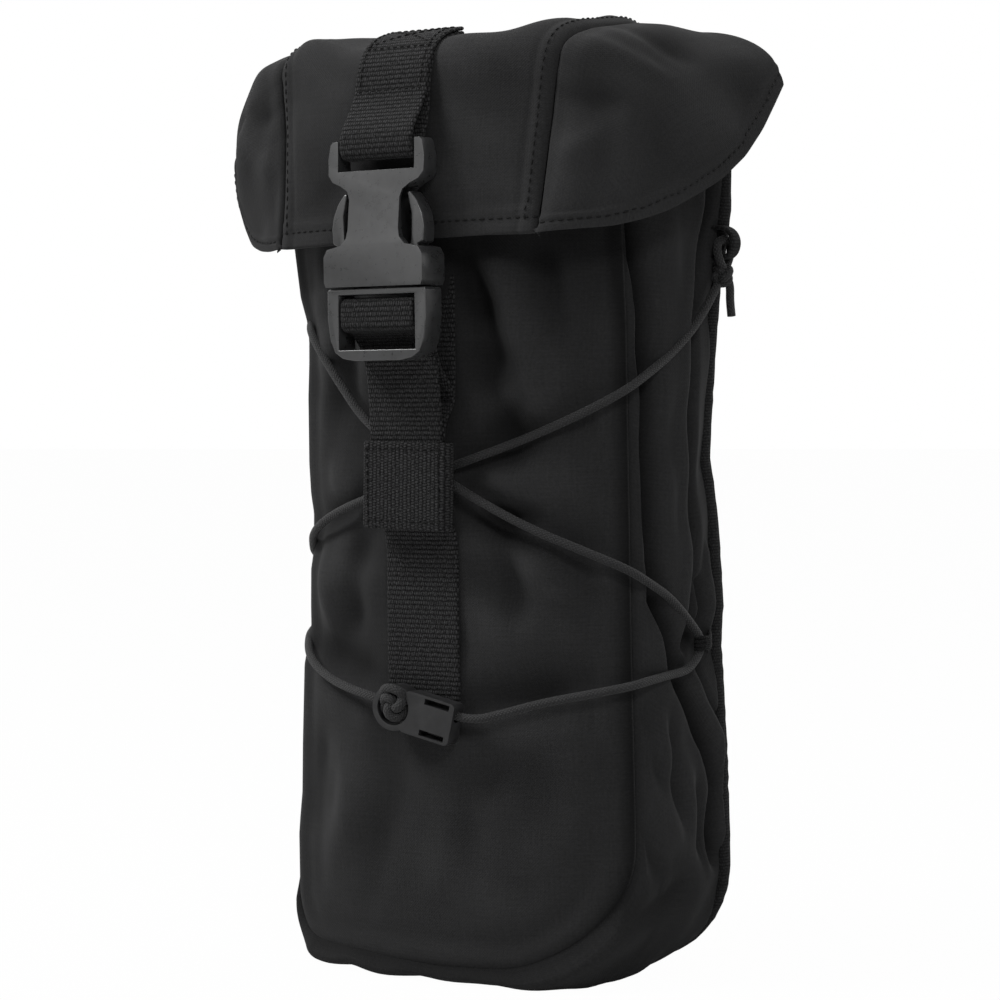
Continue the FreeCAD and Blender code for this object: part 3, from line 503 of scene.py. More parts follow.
def fold_along(u, v, line, width, height, ends=5.0):
    """A soft ridge or hollow along a bent line, faded at both ends."""
    nearest = np.full_like(u, 1e9)
    along = np.zeros_like(u)
    run = 0.0
    for (u1, v1), (u2, v2) in zip(line, line[1:]):
        du, dv = u2 - u1, v2 - v1
        length = math.hypot(du, dv)
        t = np.clip(((u - u1) * du + (v - v1) * dv) / length ** 2, 0, 1)
        away = np.hypot(u - u1 - t * du, v - v1 - t * dv)
        along = np.where(away < nearest, run + t * length, along)
        nearest = np.minimum(away, nearest)
        run += length
    fade = smoothstep(along, -0.1, ends) * (1 - smoothstep(along, run - ends, run + 0.1))
    return height * np.exp(-(nearest / width) ** 2) * fade


def front_relief(x, z, inside):
    """How far the front cloth stands out from its even fill; inside is the distance from the seam."""
    bulk = smoothstep(inside, 2, 22)
    slanting = creases(x, z, [
        (-14, 142, -58, 127, 5.0, -1.4), (-14, 160, -58, 178, 6.0, -1.5), (14, 150, 60, 171, 5.5, -1.6),
        (14, 140, 60, 118, 5.0, -1.8), (14, 82, 60, 90, 5.5, -1.5), (-16, 87, -58, 99, 5.5, -1.4),
        (16, 133, 48, 112, 5.0, 1.5), (18, 168, 56, 182, 7.0, 1.6), (20, 147, 58, 146, 7.5, 2.2),
        (-16, 118, -54, 112, 8.0, 1.7), (18, 104, 56, 104, 8.0, 1.5), (-18, 78, -52, 86, 7.0, 1.2),
        (24, 212, 33, 180, 6.0, 1.6), (38, 214, 41, 182, 3.5, -1.2), (46, 214, 48, 186, 4.5, 1.2),
        (-30, 207, -36, 178, 7.0, 1.4), (-20, 196, -46, 190, 5.0, -1.0), (14, 196, 40, 196, 6.0, -0.9),
        (20, 70, 54, 72, 6.0, 1.0), (22, 60, 44, 30, 8.0, 1.2), (-24, 62, -42, 28, 8.0, 1.2),
        (0, 40, 30, 14, 9.0, 0.8), (10, 62, 16, 26, 5.0, -0.8), (-44, 70, -52, 40, 5.0, -1.0),
        (17, 137, 38, 136, 3.2, -1.3), (20, 158, 34, 171, 3.0, -0.9), (-20, 134, -40, 150, 4.5, 1.2),
        (16, 212, 26, 172, 5.0, -2.0), (30, 206, 40, 160, 7.0, 1.7), (50, 208, 46, 160, 5.0, -1.4),
        (16, 186, 30, 150, 4.5, -1.6), (22, 140, 30, 100, 4.0, -1.5), (34, 138, 40, 108, 5.0, 1.4),
        (46, 130, 50, 100, 4.0, -1.2), (-22, 208, -30, 168, 5.0, -1.6), (-40, 200, -44, 160, 5.0, 1.3),
        (-24, 130, -30, 98, 5.0, -1.4), (-44, 128, -40, 100, 5.0, 1.2), (24, 76, 40, 30, 7.0, -0.6),
        (-10, 70, -22, 26, 7.0, -0.6), (-34, 74, -30, 40, 6.0, 1.0), (48, 74, 44, 40, 6.0, 1.1),
    ])
    slow = cloth_waves(x, z, 4, 44, 1.1) * (0.55 + 0.45 * smoothstep(z, 60, 100))
    return bulk * (2.2 * slanting + slow + cloth_waves(x, z, 8, 18, 0.25))


def front_face(x, z):
    """Y of the front cloth, in pouch millimetres."""
    half = np.where(x > 0, half_at(z, FRONT_EDGES["right"]), half_at(z, FRONT_EDGES["left"]))
    reach = np.clip(x / half, -1, 1) * HALF
    arc = np.sqrt(front_radius ** 2 - reach ** 2) - (front_radius - FRONT_BULGE)
    fill = 1 + 0.22 * (smoothstep(z, 165, 208) - smoothstep(z, 230, 256))
    fill = fill - 0.04 * hump(z, 60, 45)
    y = -SIDE_DEPTH - arc * fill
    inside = np.clip(seam_distance(x, z), 0, None)
    turned = np.clip(1 - inside / 5.0, 0, 1)
    y += 3.4 * (1 - np.sqrt(np.clip(1 - turned ** 2, 0, 1)))
    y += 0.7 * hump(inside, 8.5, 3.0)
    y -= front_relief(x, z, inside)
    return y


# Coated plain-weave cloth: fine crossed threads, uneven in thickness and tone, with a faint sheen.
cloth_weave, group_in, group_out = new_group(
    "plain_weave",
    [("Vector", "NodeSocketVector", None), ("Threads per metre", "NodeSocketFloat", 1900.0)],
    [("Height", "NodeSocketFloat"), ("Tone", "NodeSocketFloat")])
weave_scale = cloth_weave.nodes.new("ShaderNodeVectorMath")
weave_scale.operation = "SCALE"
cloth_weave.links.new(group_in.outputs["Vector"], weave_scale.inputs[0])
cloth_weave.links.new(group_in.outputs["Threads per metre"], weave_scale.inputs["Scale"])
thread_x, thread_y, _ = split_vector(cloth_weave, weave_scale.outputs[0])
warp = maths(cloth_weave, "SINE", maths(cloth_weave, "MULTIPLY", thread_x, math.pi))
weft = maths(cloth_weave, "SINE", maths(cloth_weave, "MULTIPLY", thread_y, math.pi))
crossing = maths(cloth_weave, "MULTIPLY", warp, weft)
streaks = []
for stretch in ((1.0, 0.04, 1.0), (0.04, 1.0, 1.0)):
    stretched = cloth_weave.nodes.new("ShaderNodeVectorMath")
    stretched.operation = "MULTIPLY"
    stretched.inputs[1].default_value = stretch
    cloth_weave.links.new(weave_scale.outputs[0], stretched.inputs[0])
    streaks.append(noise(cloth_weave, stretched.outputs[0], 0.9, 2))
slub = maths(cloth_weave, "ADD", streaks[0], streaks[1])
height = maths(cloth_weave, "ADD", maths(cloth_weave, "MULTIPLY", crossing, 0.5), slub)
cloth_weave.links.new(height, group_out.inputs["Height"])
speckle = noise(cloth_weave, weave_scale.outputs[0], 0.55, 2)
tone = maths(cloth_weave, "ADD", maths(cloth_weave, "MULTIPLY", slub, 0.5),
             maths(cloth_weave, "MULTIPLY", maths(cloth_weave, "SUBTRACT", speckle, 0.5), 0.8))
cloth_weave.links.new(tone, group_out.inputs["Tone"])


def weave_nodes(tree, group, inputs):
    """Places a shared effect in a material, reading the piece's own cloth map."""
    uv = tree.nodes.new("ShaderNodeUVMap")
    uv.uv_map = "UVMap"
    placed_group = tree.nodes.new("ShaderNodeGroup")
    placed_group.node_tree = group
    tree.links.new(uv.outputs[0], placed_group.inputs["Vector"])
    for label, value in inputs.items():
        placed_group.inputs[label].default_value = value
    return placed_group


def cloth_material(name, dark, light, threads=2300.0, relief=0.00008):
    made, tree, shader = surface_material(name, 0.78, sheen=0.04, sheen_roughness=0.45, specular=0.05)
    woven = weave_nodes(tree, cloth_weave, {"Threads per metre": threads})
    # Random mottling of the cloth's tone and roughness.
    wear_and_painted_shade = noise(tree, object_place(tree), 26, 4, 0.6)
    tone = maths(tree, "ADD", maths(tree, "MULTIPLY", woven.outputs["Tone"], 0.75),
                 maths(tree, "MULTIPLY", wear_and_painted_shade, 0.35))
    # A vertex attribute scales the colour with painted light and shade: painted highlights on ridges and
    # painted shade in hollows, along seams, under the lid and near the base.
    painted_shade_attribute = tree.nodes.new("ShaderNodeAttribute")
    painted_shade_attribute.attribute_name = "wear_and_painted_shade"
    shaded = tree.nodes.new("ShaderNodeVectorMath")
    shaded.operation = "SCALE"
    tree.links.new(graded(tree, tone, dark, light, 0.25, 0.9), shaded.inputs[0])
    tree.links.new(painted_shade_attribute.outputs["Fac"], shaded.inputs["Scale"])
    tree.links.new(shaded.outputs[0], shader.inputs["Base Color"])
    dullness = maths(tree, "ADD", maths(tree, "MULTIPLY", wear_and_painted_shade, 0.16), 0.68)
    tree.links.new(dullness, shader.inputs["Roughness"])
    bump(tree, shader, woven.outputs["Height"], relief, 0.8)
    return made


pouch_cloth = cloth_material("pouch_cloth", (0.0205, 0.0205, 0.0208), (0.0390, 0.0390, 0.0398))

ROWS, COLUMNS = 230, 132
z_grid = height_grid(FRONT_BOTTOM, ROWS, COLUMNS)
across = bunched(COLUMNS, 0.92)
left_edge = panel_edge(z_grid, FRONT_EDGES["left"], FRONT_BOTTOM, FRONT_CORNERS["left"])
right_edge = panel_edge(z_grid, FRONT_EDGES["right"], FRONT_BOTTOM, FRONT_CORNERS["right"])
x_grid = np.where(across[None, :] < 0, left_edge, right_edge) * across[None, :]
y_grid = front_face(x_grid, z_grid)
points = placed(np.stack([x_grid, y_grid, z_grid], axis=-1)).reshape(-1, 3)
inside = np.clip(seam_distance(x_grid, z_grid), 0, None)
# Painted light and shade: the colour is lighter on the ridges and darker in the hollows, with a painted
# shadow along the seam and painted shade under the lid.
front_painted_shade = 1 + 0.10 * front_relief(x_grid, z_grid, inside) - 0.7 * np.clip(1 - inside / 3.4, 0, 1) ** 1.5
front_painted_shade -= 0.4 * smoothstep(z_grid, 184, 212)
front_cloth = new_mesh("front_cloth", points, grid_faces(ROWS, COLUMNS),
                       cloth_uv(x_grid * 1.05, z_grid), wear_and_painted_shade=np.clip(front_painted_shade, 0.35, 1.3))


def thicken(piece, thickness):
    """Gives a sheet its thickness, on the side that its faces turn away from."""
    solid = piece.modifiers.new("thickness", "SOLIDIFY")
    solid.thickness = thickness
    solid.offset = -1.0
    solid.use_even_offset = False


thicken(front_cloth, PANEL_THICK)
front_cloth.data.materials.append(pouch_cloth)
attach(front_cloth, "pouch")
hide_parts("front_panel")

# ------------------------------------------------------------------------------ gusset and base
# One long strip of the same cloth goes down one side, under the pouch and up the other.  The cords
# gather each side into deep upright folds that meet where the cord is tied to it.
MIDDLE_EDGES = {
    "left": [(0, 62.0), (40, 62.4), (90, 60.4), (111, 58.4), (126, 57.8), (190, 58.2), (216, 60.6),
             (262, 60.0)],
    "right": [(0, 59.6), (60, 60.2), (217, 60.2), (262, 60.6)],
}
BACK_EDGES = {
    "left": [(0, 60.0), (60, 59.4), (108, 58.0), (132, 56.8), (150, 54.8), (170, 55.4), (200, 58.2),
             (262, 60.4)],
    "right": [(0, 59.6), (37, 59.4), (60, 59.0), (78, 58.2), (96, 57.2), (108, 58.0), (120, 57.4),
              (132, 56.6), (143.6, 55.3), (149.5, 54.1), (155, 54.4), (167, 55.3), (179, 56.3),
              (191, 57.4), (203, 58.6), (213, 60.6), (224, 62.2), (262, 62.4)],
}
BACK_BOTTOM = 1.6
BACK_CORNERS = {"left": 18.0, "right": 30.0}


def u_path(edges, left_corner, right_corner, bottom):
    """The outline from the left mouth, down, under and up to the right mouth.  Every outline has the
    same number of points on each side, corner and base, so that two can be joined point to point."""
    line = []
    for z in np.linspace(MOUTH, bottom + left_corner, 190, endpoint=False):
        line.append((-half_at(z, edges["left"]), z))
    centre = half_at(bottom + left_corner, edges["left"]) - left_corner
    for a in np.linspace(0, math.pi / 2, 52, endpoint=False):
        line.append((-centre - left_corner * math.cos(a), bottom + left_corner * (1 - math.sin(a))))
    right_centre = half_at(bottom + right_corner, edges["right"]) - right_corner
    for x in np.linspace(-centre, right_centre, 96, endpoint=False):
        line.append((x, bottom))
    for a in np.linspace(0, math.pi / 2, 52, endpoint=False):
        line.append((right_centre + right_corner * math.sin(a), bottom + right_corner * (1 - math.cos(a))))
    for z in np.linspace(bottom + right_corner, MOUTH, 191):
        line.append((half_at(z, edges["right"]), z))
    return np.array(line)


def side_folds(y, z, lift):
    """Height of the folds on a side wall, outwards; lift is how much higher the cord is tied."""
    z = z - lift * (1 - smoothstep(z, 125, 200))
    front_valley = [(-44, 262), (-43.5, 222), (-41.5, 200), (-40.6, 170), (-40.4, 140), (-40, 122),
                    (-38.5, 112), (-33.5, 102), (-30.7, 92), (-27, 86.6), (-19.2, 76.6), (-12.4, 66.9),
                    (-8.2, 54.2), (-9.3, 40.7), (-8.5, 28)]
    front_ridge = [(-49, 262), (-48, 222), (-44.8, 198), (-44, 160), (-43.8, 120), (-43, 108)]
    rear_valley = [(-9.5, 262), (-11.2, 218), (-17, 190), (-19.5, 165), (-19.8, 150), (-18.8, 125),
                   (-20, 108), (-24.5, 93)]
    rear_ridge = [(-13, 262), (-15.4, 218), (-22, 190), (-24.8, 165), (-25.4, 150), (-24.6, 122), (-27, 104),
                  (-28, 97)]
    low_ridge = [(-21, 90), (-13.5, 78), (-5.5, 68.5), (-3.2, 61), (-3.4, 47), (-5.1, 34)]
    d = fold_along(y, z, front_valley, 2.5, -11.0, 9)
    d = d + fold_along(y, z, front_ridge, 2.4, 1.2, 9)
    d = d + fold_along(y, z, rear_valley, 2.5, -11.0, 9)
    d = d + fold_along(y, z, rear_ridge, 3.2, 1.3, 9)
    d = d + fold_along(y, z, low_ridge, 2.6, 2.0, 7)
    d = d + fold_along(y, z, [(-15.5, 92), (-10, 80), (-2.5, 71)], 1.4, -3.0, 4)
    d = d + fold_along(y, z, [(-14, 118), (-12.5, 106), (-15.5, 99)], 1.6, -4.0, 4)
    d = d + fold_along(y, z, [(-9, 128), (-8, 108), (-11, 95)], 2.0, 1.8, 6)
    gather = np.exp(-(((y + 17.5) / 7.0) ** 2 + ((z - 97) / 7.0) ** 2))
    d = d - 2.4 * gather
    d = d + creases(y, z, [
        (-44, 74, -30, 60, 4.0, 0.9), (-46, 60, -30, 38, 5.0, 1.0), (-34, 48, -18, 22, 4.0, 1.2),
        (-47, 206, -39, 180, 2.6, 0.7), (-34, 236, -28, 200, 4.0, 1.0), (-34, 150, -30, 118, 3.4, 0.8),
        (-45, 84, -38, 56, 3.4, -2.2), (-26, 66, -22, 34, 4.5, 1.8), (-34, 78, -27, 44, 2.8, -2.6),
        (-47, 52, -36, 26, 3.0, -1.8), (-20, 58, -15, 30, 2.6, -2.2),
    ])
    return d


WIDE = 80
front_line = u_path(FRONT_EDGES, FRONT_CORNERS["left"], FRONT_CORNERS["right"], FRONT_BOTTOM)
middle_line = u_path(MIDDLE_EDGES, 13.0, 27.0, 0.3)
back_line = u_path(BACK_EDGES, BACK_CORNERS["left"], BACK_CORNERS["right"], BACK_BOTTOM)
LONG = len(front_line)
t = np.linspace(0, 1, WIDE)[None, :]
to_front = np.clip(1 - t / 0.30, 0, 1)[..., None] ** 2
to_back = smoothstep(t, 0.55, 1.0)[..., None]
plane = (front_line[:, None, :] * to_front + back_line[:, None, :] * to_back
         + middle_line[:, None, :] * (1 - to_front - to_back))
along_path = np.gradient(plane, axis=0)
out = np.stack([along_path[..., 1], -along_path[..., 0]], axis=-1)
out /= np.linalg.norm(out, axis=2, keepdims=True)
front_y = front_face(front_line[:, 0] * 0.9999, np.maximum(front_line[:, 1], FRONT_BOTTOM + 1e-4))[:, None]
back_y = np.full_like(front_y, -1.0)
x_plane, z_plane = plane[..., 0], plane[..., 1]
is_side = smoothstep(z_plane, 14, 40)
flat_y = front_y * (1 - t) + back_y * t
# The base stands proud of the front seam like a rolled edge.
roll = np.sin(math.pi * np.clip(t / 0.22, 0, 1)) ** 0.8
base_roll = 6.6 + 3.6 * (1 - smoothstep(x_plane, -35, 5)) * smoothstep(x_plane, -61, -50)
base_roll = base_roll + 1.4 * hump(x_plane, 38, 10)
y_grid = flat_y - base_roll * roll * (1 - is_side)
across_mm = np.abs(front_y - back_y)
edge = np.minimum(t, 1 - t) * across_mm
rounded = -4.6 * np.clip(1 - edge / 3.6, 0, 1) ** 1.7
right_side = side_folds(flat_y, z_plane, 0.0)
left_side = side_folds(flat_y, z_plane, 14.4)
inside_edge = smoothstep(edge, 0.6, 4.5)
folds = np.where(x_plane > 0, right_side, left_side) * is_side * inside_edge
path_run = run_along(middle_line)[:, None]
uneven = cloth_waves(path_run + 0 * t, y_grid, 9, 34, 0.9) * inside_edge
low_creases = creases(path_run + 0 * t, y_grid, [
    (path_run[first, 0], front, path_run[last, 0], back, width, height)
    for first, front, last, back, width, height in (
        (330, -62, 350, -30, 3.6, -1.0), (350, -58, 362, -28, 4.0, 1.2),
        (372, -58, 392, -24, 3.4, -1.2), (300, -60, 318, -30, 6.0, 0.7))
])
rise = rounded + folds + uneven + 1.8 * low_creases * inside_edge
surface = plane + out * rise[..., None]
gusset_grid = np.stack([surface[..., 0], y_grid, np.maximum(surface[..., 1], 0.05)], axis=-1)
across_steps = np.linalg.norm(np.diff(gusset_grid, axis=1), axis=2)
across_run = np.concatenate([np.zeros((LONG, 1)), np.cumsum(across_steps, axis=1)], axis=1)
# Painted light and shade: lighter on the ridges, darker in the fold valleys and at the rounded edges, and
# painted shade towards the base.
gusset_painted_shade = 1.06 + 0.11 * (folds + low_creases * 1.8) + 0.17 * rounded + 0.06 * uneven
gusset_painted_shade *= 0.72 + 0.28 * smoothstep(z_plane, 6, 44)
# This strip's faces turn inwards, so that its thickness lies outside them.
gusset_cloth = new_mesh("gusset_cloth", placed(gusset_grid).reshape(-1, 3), grid_faces(LONG, WIDE, flip=True),
                        cloth_uv(across_run, path_run + 0 * t), wear_and_painted_shade=np.clip(gusset_painted_shade, 0.15, 1.25))
thicken(gusset_cloth, GUSSET_THICK)
gusset_cloth.data.materials.append(pouch_cloth)
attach(gusset_cloth, "pouch")
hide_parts("left_gusset", "right_gusset", "bottom_gusset")

# ------------------------------------------------------------------------------ back panel
# The back is a flat, stiffer piece of the same cloth.  It is hidden in use against a carrier.
ROWS, COLUMNS = 120, 60
z_grid = height_grid(BACK_BOTTOM, ROWS, COLUMNS)
across = np.linspace(-1, 1, COLUMNS)[None, :]
left_edge = panel_edge(z_grid, BACK_EDGES["left"], BACK_BOTTOM, BACK_CORNERS["left"])
right_edge = panel_edge(z_grid, BACK_EDGES["right"], BACK_BOTTOM, BACK_CORNERS["right"])
x_grid = across * np.where(across < 0, left_edge, right_edge)
y_grid = -0.1 - 0.25 * np.abs(cloth_waves(x_grid, z_grid, 21, 60, 0.6))
points = placed(np.stack([x_grid, y_grid, z_grid], axis=-1)).reshape(-1, 3)
back_cloth = new_mesh("back_cloth", points, grid_faces(ROWS, COLUMNS, flip=True),
                      cloth_uv(x_grid, z_grid), wear_and_painted_shade=np.full(x_grid.shape, 0.9))
thicken(back_cloth, PANEL_THICK)
back_cloth.data.materials.append(pouch_cloth)
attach(back_cloth, "pouch")
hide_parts("back_panel")

# ------------------------------------------------------------------------------ bindings
# Woven tape folded over the raw edges and sewn down: one round the mouth, and one down, under and
# up the seam that joins the gusset to the back.
def sweep_section(name, line, outward, across, section, closed=False):
    """A solid band along a line; the section's points are (outward, across) millimetres."""
    line = np.asarray(line, float)
    count, sides = len(line), len(section)
    outward = np.broadcast_to(np.asarray(outward, float), line.shape)
    across = np.broadcast_to(np.asarray(across, float), line.shape)
    following = np.roll(line, -1, 0) - line if closed else np.diff(line, axis=0)
    run = np.concatenate([[0], np.cumsum(np.linalg.norm(following, axis=1))])[:count]
    section = np.asarray(section, float)
    grid = (line[:, None, :] + outward[:, None, :] * section[None, :, 0:1]
            + across[:, None, :] * section[None, :, 1:2])
    cloth_place = cloth_uv(np.broadcast_to(section[None, :, 1], (count, sides)),
                           np.broadcast_to(run[:, None], (count, sides)))
    faces = []
    for i in range(count if closed else count - 1):
        j = (i + 1) % count
        for k in range(sides):
            m = (k + 1) % sides
            faces.append((i * sides + k, i * sides + m, j * sides + m, j * sides + k))
    if not closed:
        faces.append(tuple(range(sides)))
        faces.append(tuple((count - 1) * sides + k for k in reversed(range(sides))))
    band = new_mesh(name, placed(grid).reshape(-1, 3), faces, cloth_place)
    face_outwards(band)
    return band


# Nylon webbing: thick weft ribs straight across, each crossed by fine warp threads.
webbing_weave, group_in, group_out = new_group(
    "ribbed_webbing",
    [("Vector", "NodeSocketVector", None), ("Rib pitch", "NodeSocketFloat", 0.00135),
     ("Thread pitch", "NodeSocketFloat", 0.00075)],
    [("Height", "NodeSocketFloat"), ("Tone", "NodeSocketFloat")])
across_strap, along_strap, _ = split_vector(webbing_weave, group_in.outputs["Vector"])
wander = maths(webbing_weave, "MULTIPLY", noise(webbing_weave, group_in.outputs["Vector"], 900, 2), 0.0007)
along = maths(webbing_weave, "DIVIDE", maths(webbing_weave, "ADD", along_strap, wander),
              group_in.outputs["Rib pitch"])
rib_number = maths(webbing_weave, "FLOOR", along)
rib = half_waves(webbing_weave, along)
across_threads = maths(webbing_weave, "ADD",
                       maths(webbing_weave, "DIVIDE", across_strap, group_in.outputs["Thread pitch"]),
                       maths(webbing_weave, "MULTIPLY", rib_number, 0.5))
thread = half_waves(webbing_weave, across_threads)
rib_height = maths(webbing_weave, "MULTIPLY", maths(webbing_weave, "POWER", rib, 0.8),
                   maths(webbing_weave, "ADD", maths(webbing_weave, "MULTIPLY", thread, 0.8), 0.2))
webbing_weave.links.new(rib_height, group_out.inputs["Height"])
# The tone follows the rib height, so the grooves between ribs carry painted shade; a random worn mottling
# scales it.
worn = maths(webbing_weave, "MULTIPLY", noise(webbing_weave, group_in.outputs["Vector"], 1300, 3), 1.75)
webbing_weave.links.new(
    maths(webbing_weave, "MULTIPLY", maths(webbing_weave, "ADD", rib_height, 0.15),
          maths(webbing_weave, "MULTIPLY", worn, worn)),
    group_out.inputs["Tone"])


def webbing_material(name, dark, light, rib_pitch=0.00135, thread_pitch=0.0008, relief=0.0004):
    made, tree, shader = surface_material(name, 0.74, sheen=0.04, sheen_roughness=0.4, specular=0.08)
    woven = weave_nodes(tree, webbing_weave, {"Rib pitch": rib_pitch, "Thread pitch": thread_pitch})
    tree.links.new(graded(tree, woven.outputs["Tone"], dark, light, 0.15, 1.0), shader.inputs["Base Color"])
    bump(tree, shader, woven.outputs["Height"], relief, 1.0)
    return made


tape_cloth = webbing_material("binding_tape", (0.005, 0.005, 0.0052), (0.026, 0.026, 0.0265),
                              rib_pitch=0.0009, thread_pitch=0.0006, relief=0.0002)
x_top = np.linspace(-half_at(MOUTH, FRONT_EDGES["left"]), half_at(MOUTH, FRONT_EDGES["right"]), 120)
mouth_row = front_face(x_top, np.full(120, MOUTH - 0.01))
mouth_outline = np.concatenate([
    gusset_grid[0, ::-1, :2], np.stack([x_top, mouth_row], axis=1)[1:-1], gusset_grid[-1, :, :2],
    np.stack([np.linspace(half_at(MOUTH, BACK_EDGES["right"]), -half_at(MOUTH, BACK_EDGES["left"]), 60),
              np.full(60, -0.2)], axis=1)[1:-1]])
closed_line = np.vstack([mouth_outline, mouth_outline[:1]])
outline_run = run_along(closed_line)
wanted = np.linspace(0, outline_run[-1], 421)[:-1]
mouth_line = np.stack([np.interp(wanted, outline_run, closed_line[:, k]) for k in range(2)], axis=1)
for _ in range(6):
    mouth_line = 0.5 * mouth_line + 0.25 * (np.roll(mouth_line, 1, 0) + np.roll(mouth_line, -1, 0))
travel = np.roll(mouth_line, -1, 0) - np.roll(mouth_line, 1, 0)
travel /= np.linalg.norm(travel, axis=1)[:, None]
mouth_out = np.stack([travel[:, 1], -travel[:, 0], np.zeros(len(travel))], axis=1)
mouth_centre = np.column_stack([mouth_line, np.zeros(len(mouth_line))])
mouth_tape = sweep_section("mouth_tape", mouth_centre, mouth_out, (0, 0, 1), [
    (0.85, 253.0), (1.1, 253.4), (1.15, 260.9), (0.8, 262.3), (-0.6, 262.9), (-2.0, 262.3), (-2.35, 260.9),
    (-2.3, 253.4), (-2.05, 253.0), (-0.6, 252.8)], closed=True)
mouth_tape.data.materials.append(tape_cloth)
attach(mouth_tape, "pouch")
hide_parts("mouth_binding")

back_travel = directions(back_line)
back_out = np.stack([back_travel[:, 1], np.zeros(LONG), -back_travel[:, 0]], axis=1)
fluff = cloth_waves(path_run[:, 0], path_run[:, 0] * 0, 33, 5, 0.12)
back_centre = np.column_stack([back_line[:, 0], np.zeros(LONG), back_line[:, 1]]) + back_out * fluff[:, None]
back_centre[:, 2] = np.maximum(back_centre[:, 2], 1.6)
back_tape = sweep_section("back_seam_tape", back_centre[::2], back_out[::2], (0, 1, 0), [
    (-0.6, -5.2), (0.8, -5.0), (1.5, -4.2), (1.9, -2.2), (1.7, -0.4), (1.0, 0.55), (-0.8, 0.75), (-4.6, 0.7),
    (-4.8, 0.25), (-1.4, 0.1), (-1.5, -4.6)])
back_tape.data.materials.append(tape_cloth)
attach(back_tape, "pouch")
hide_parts("back_edge_binding")

# ------------------------------------------------------------------------------ webbing straps
# 25 mm nylon webbing.  One strap is sewn flat up the front and bridges the cords; the adjusting
# strap is sewn on over it, goes round the lower buckle half and comes back down into the keeper.
STRAP_WIDTH, STRAP_THICK = 25.0, 1.2
strap_webbing = webbing_material("strap_webbing", (0.0050, 0.0050, 0.0051), (0.0520, 0.0520, 0.0530))


def smooth_line(points, rounds=3):
    """Corners cut off again and again, the ends kept."""
    points = np.asarray(points, float)
    for _ in range(rounds):
        first, last = points[:1], points[-1:]
        a = points[:-1] * 0.75 + points[1:] * 0.25
        b = points[:-1] * 0.25 + points[1:] * 0.75
        points = np.vstack([first, np.stack([a, b], axis=1).reshape(-1, points.shape[1]), last])
    return points


def strap_section(width, thick):
    half, lip = width / 2, thick / 2
    side = [(-lip, half - 0.7), (-lip * 0.55, half - 0.15), (0, half),
            (lip * 0.55, half - 0.15), (lip, half - 0.7)]
    front = [(lip, a) for a in np.linspace(half - 2.2, -half + 2.2, 11)]
    other = [(n, -a) for n, a in side[::-1]]
    back = [(-lip, a) for a in np.linspace(-half + 2.2, half - 2.2, 5)]
    return side + front + other + back


def strap_along(name, path, spacing=0.6, rounds=3):
    """An upright strap: its path is (y, z), its width lies along x."""
    path = smooth_line(path, rounds)
    path = even_points(np.column_stack([np.zeros(len(path)), path]), spacing)
    tangent = directions(path)
    outward = np.stack([np.zeros(len(path)), -tangent[:, 2], tangent[:, 1]], axis=1)
    return sweep_section(name, path, outward, (1, 0, 0), strap_section(STRAP_WIDTH, STRAP_THICK))


LYING, RAISED = -69.25, -75.2
sewn_strap = strap_along("sewn_front_strap", [
    (LYING, 82.0), (LYING - 0.4, 96), (LYING - 0.2, 112), (LYING, 128), (-71.0, 132.5), (-74.4, 136),
    (RAISED, 139), (RAISED, 150), (RAISED, 159.5), (-74.2, 163), (-71.2, 166.4), (LYING, 170), (LYING, 232)])
sewn_strap.data.materials.append(strap_webbing)
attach(sewn_strap, "pouch")
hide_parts("base_webbing")

# One strap: up from its stitching, over the buckle's ladder bar and back down its own front.
buckle_strap = strap_along("adjusting_strap", [
    (-70.55, 168.8), (-70.6, 171.5), (-72.5, 174), (-76.1, 177.4), (-77.4, 180.6), (-79.1, 184.2),
    (-80.3, 188.2), (-80.7, 193.2), (-81.2, 195.9), (-82.4, 197.2), (-85.2, 197.5), (-87.6, 197.4),
    (-89.3, 196.9), (-89.7, 195.2), (-89.7, 190.2), (-88.9, 189.0), (-86.5, 188.7), (-83.7, 187.3),
    (-81.3, 184.6), (-79.5, 181.1), (-78.0, 177.6), (-77.1, 171), (-76.5, 163),
    (-76.5, 133.6)], rounds=2, spacing=0.5)
buckle_strap.data.materials.append(strap_webbing)
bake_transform(buckle_strap)
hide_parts("adjuster_strap", "adjuster_loop")

# The keeper is a short piece of the same webbing laid crosswise over the strap, sewn at both sides.
KEEPER_SLANT = 0.03
keeper_path = smooth_line([(-14.4, -74.7), (-14.3, -76.9), (-13.4, -77.9), (-11.0, -78.1), (0, -78.25),
                           (11.0, -78.1), (13.4, -77.9), (14.3, -76.9), (14.4, -74.7)], 3)
keeper_path = even_points(np.column_stack([keeper_path, np.full(len(keeper_path), 144.6)]), 0.5)
tangent = directions(keeper_path)
keeper_out = np.stack([tangent[:, 1], -tangent[:, 0], np.zeros(len(tangent))], axis=1)
keeper_path[:, 2] -= KEEPER_SLANT * keeper_path[:, 0]
keeper_band = sweep_section("keeper_band", keeper_path, keeper_out, (KEEPER_SLANT, 0, 1),
                            strap_section(STRAP_WIDTH, STRAP_THICK))
keeper_band.data.materials.append(strap_webbing)
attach(keeper_band, "pouch")
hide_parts("webbing_keeper")

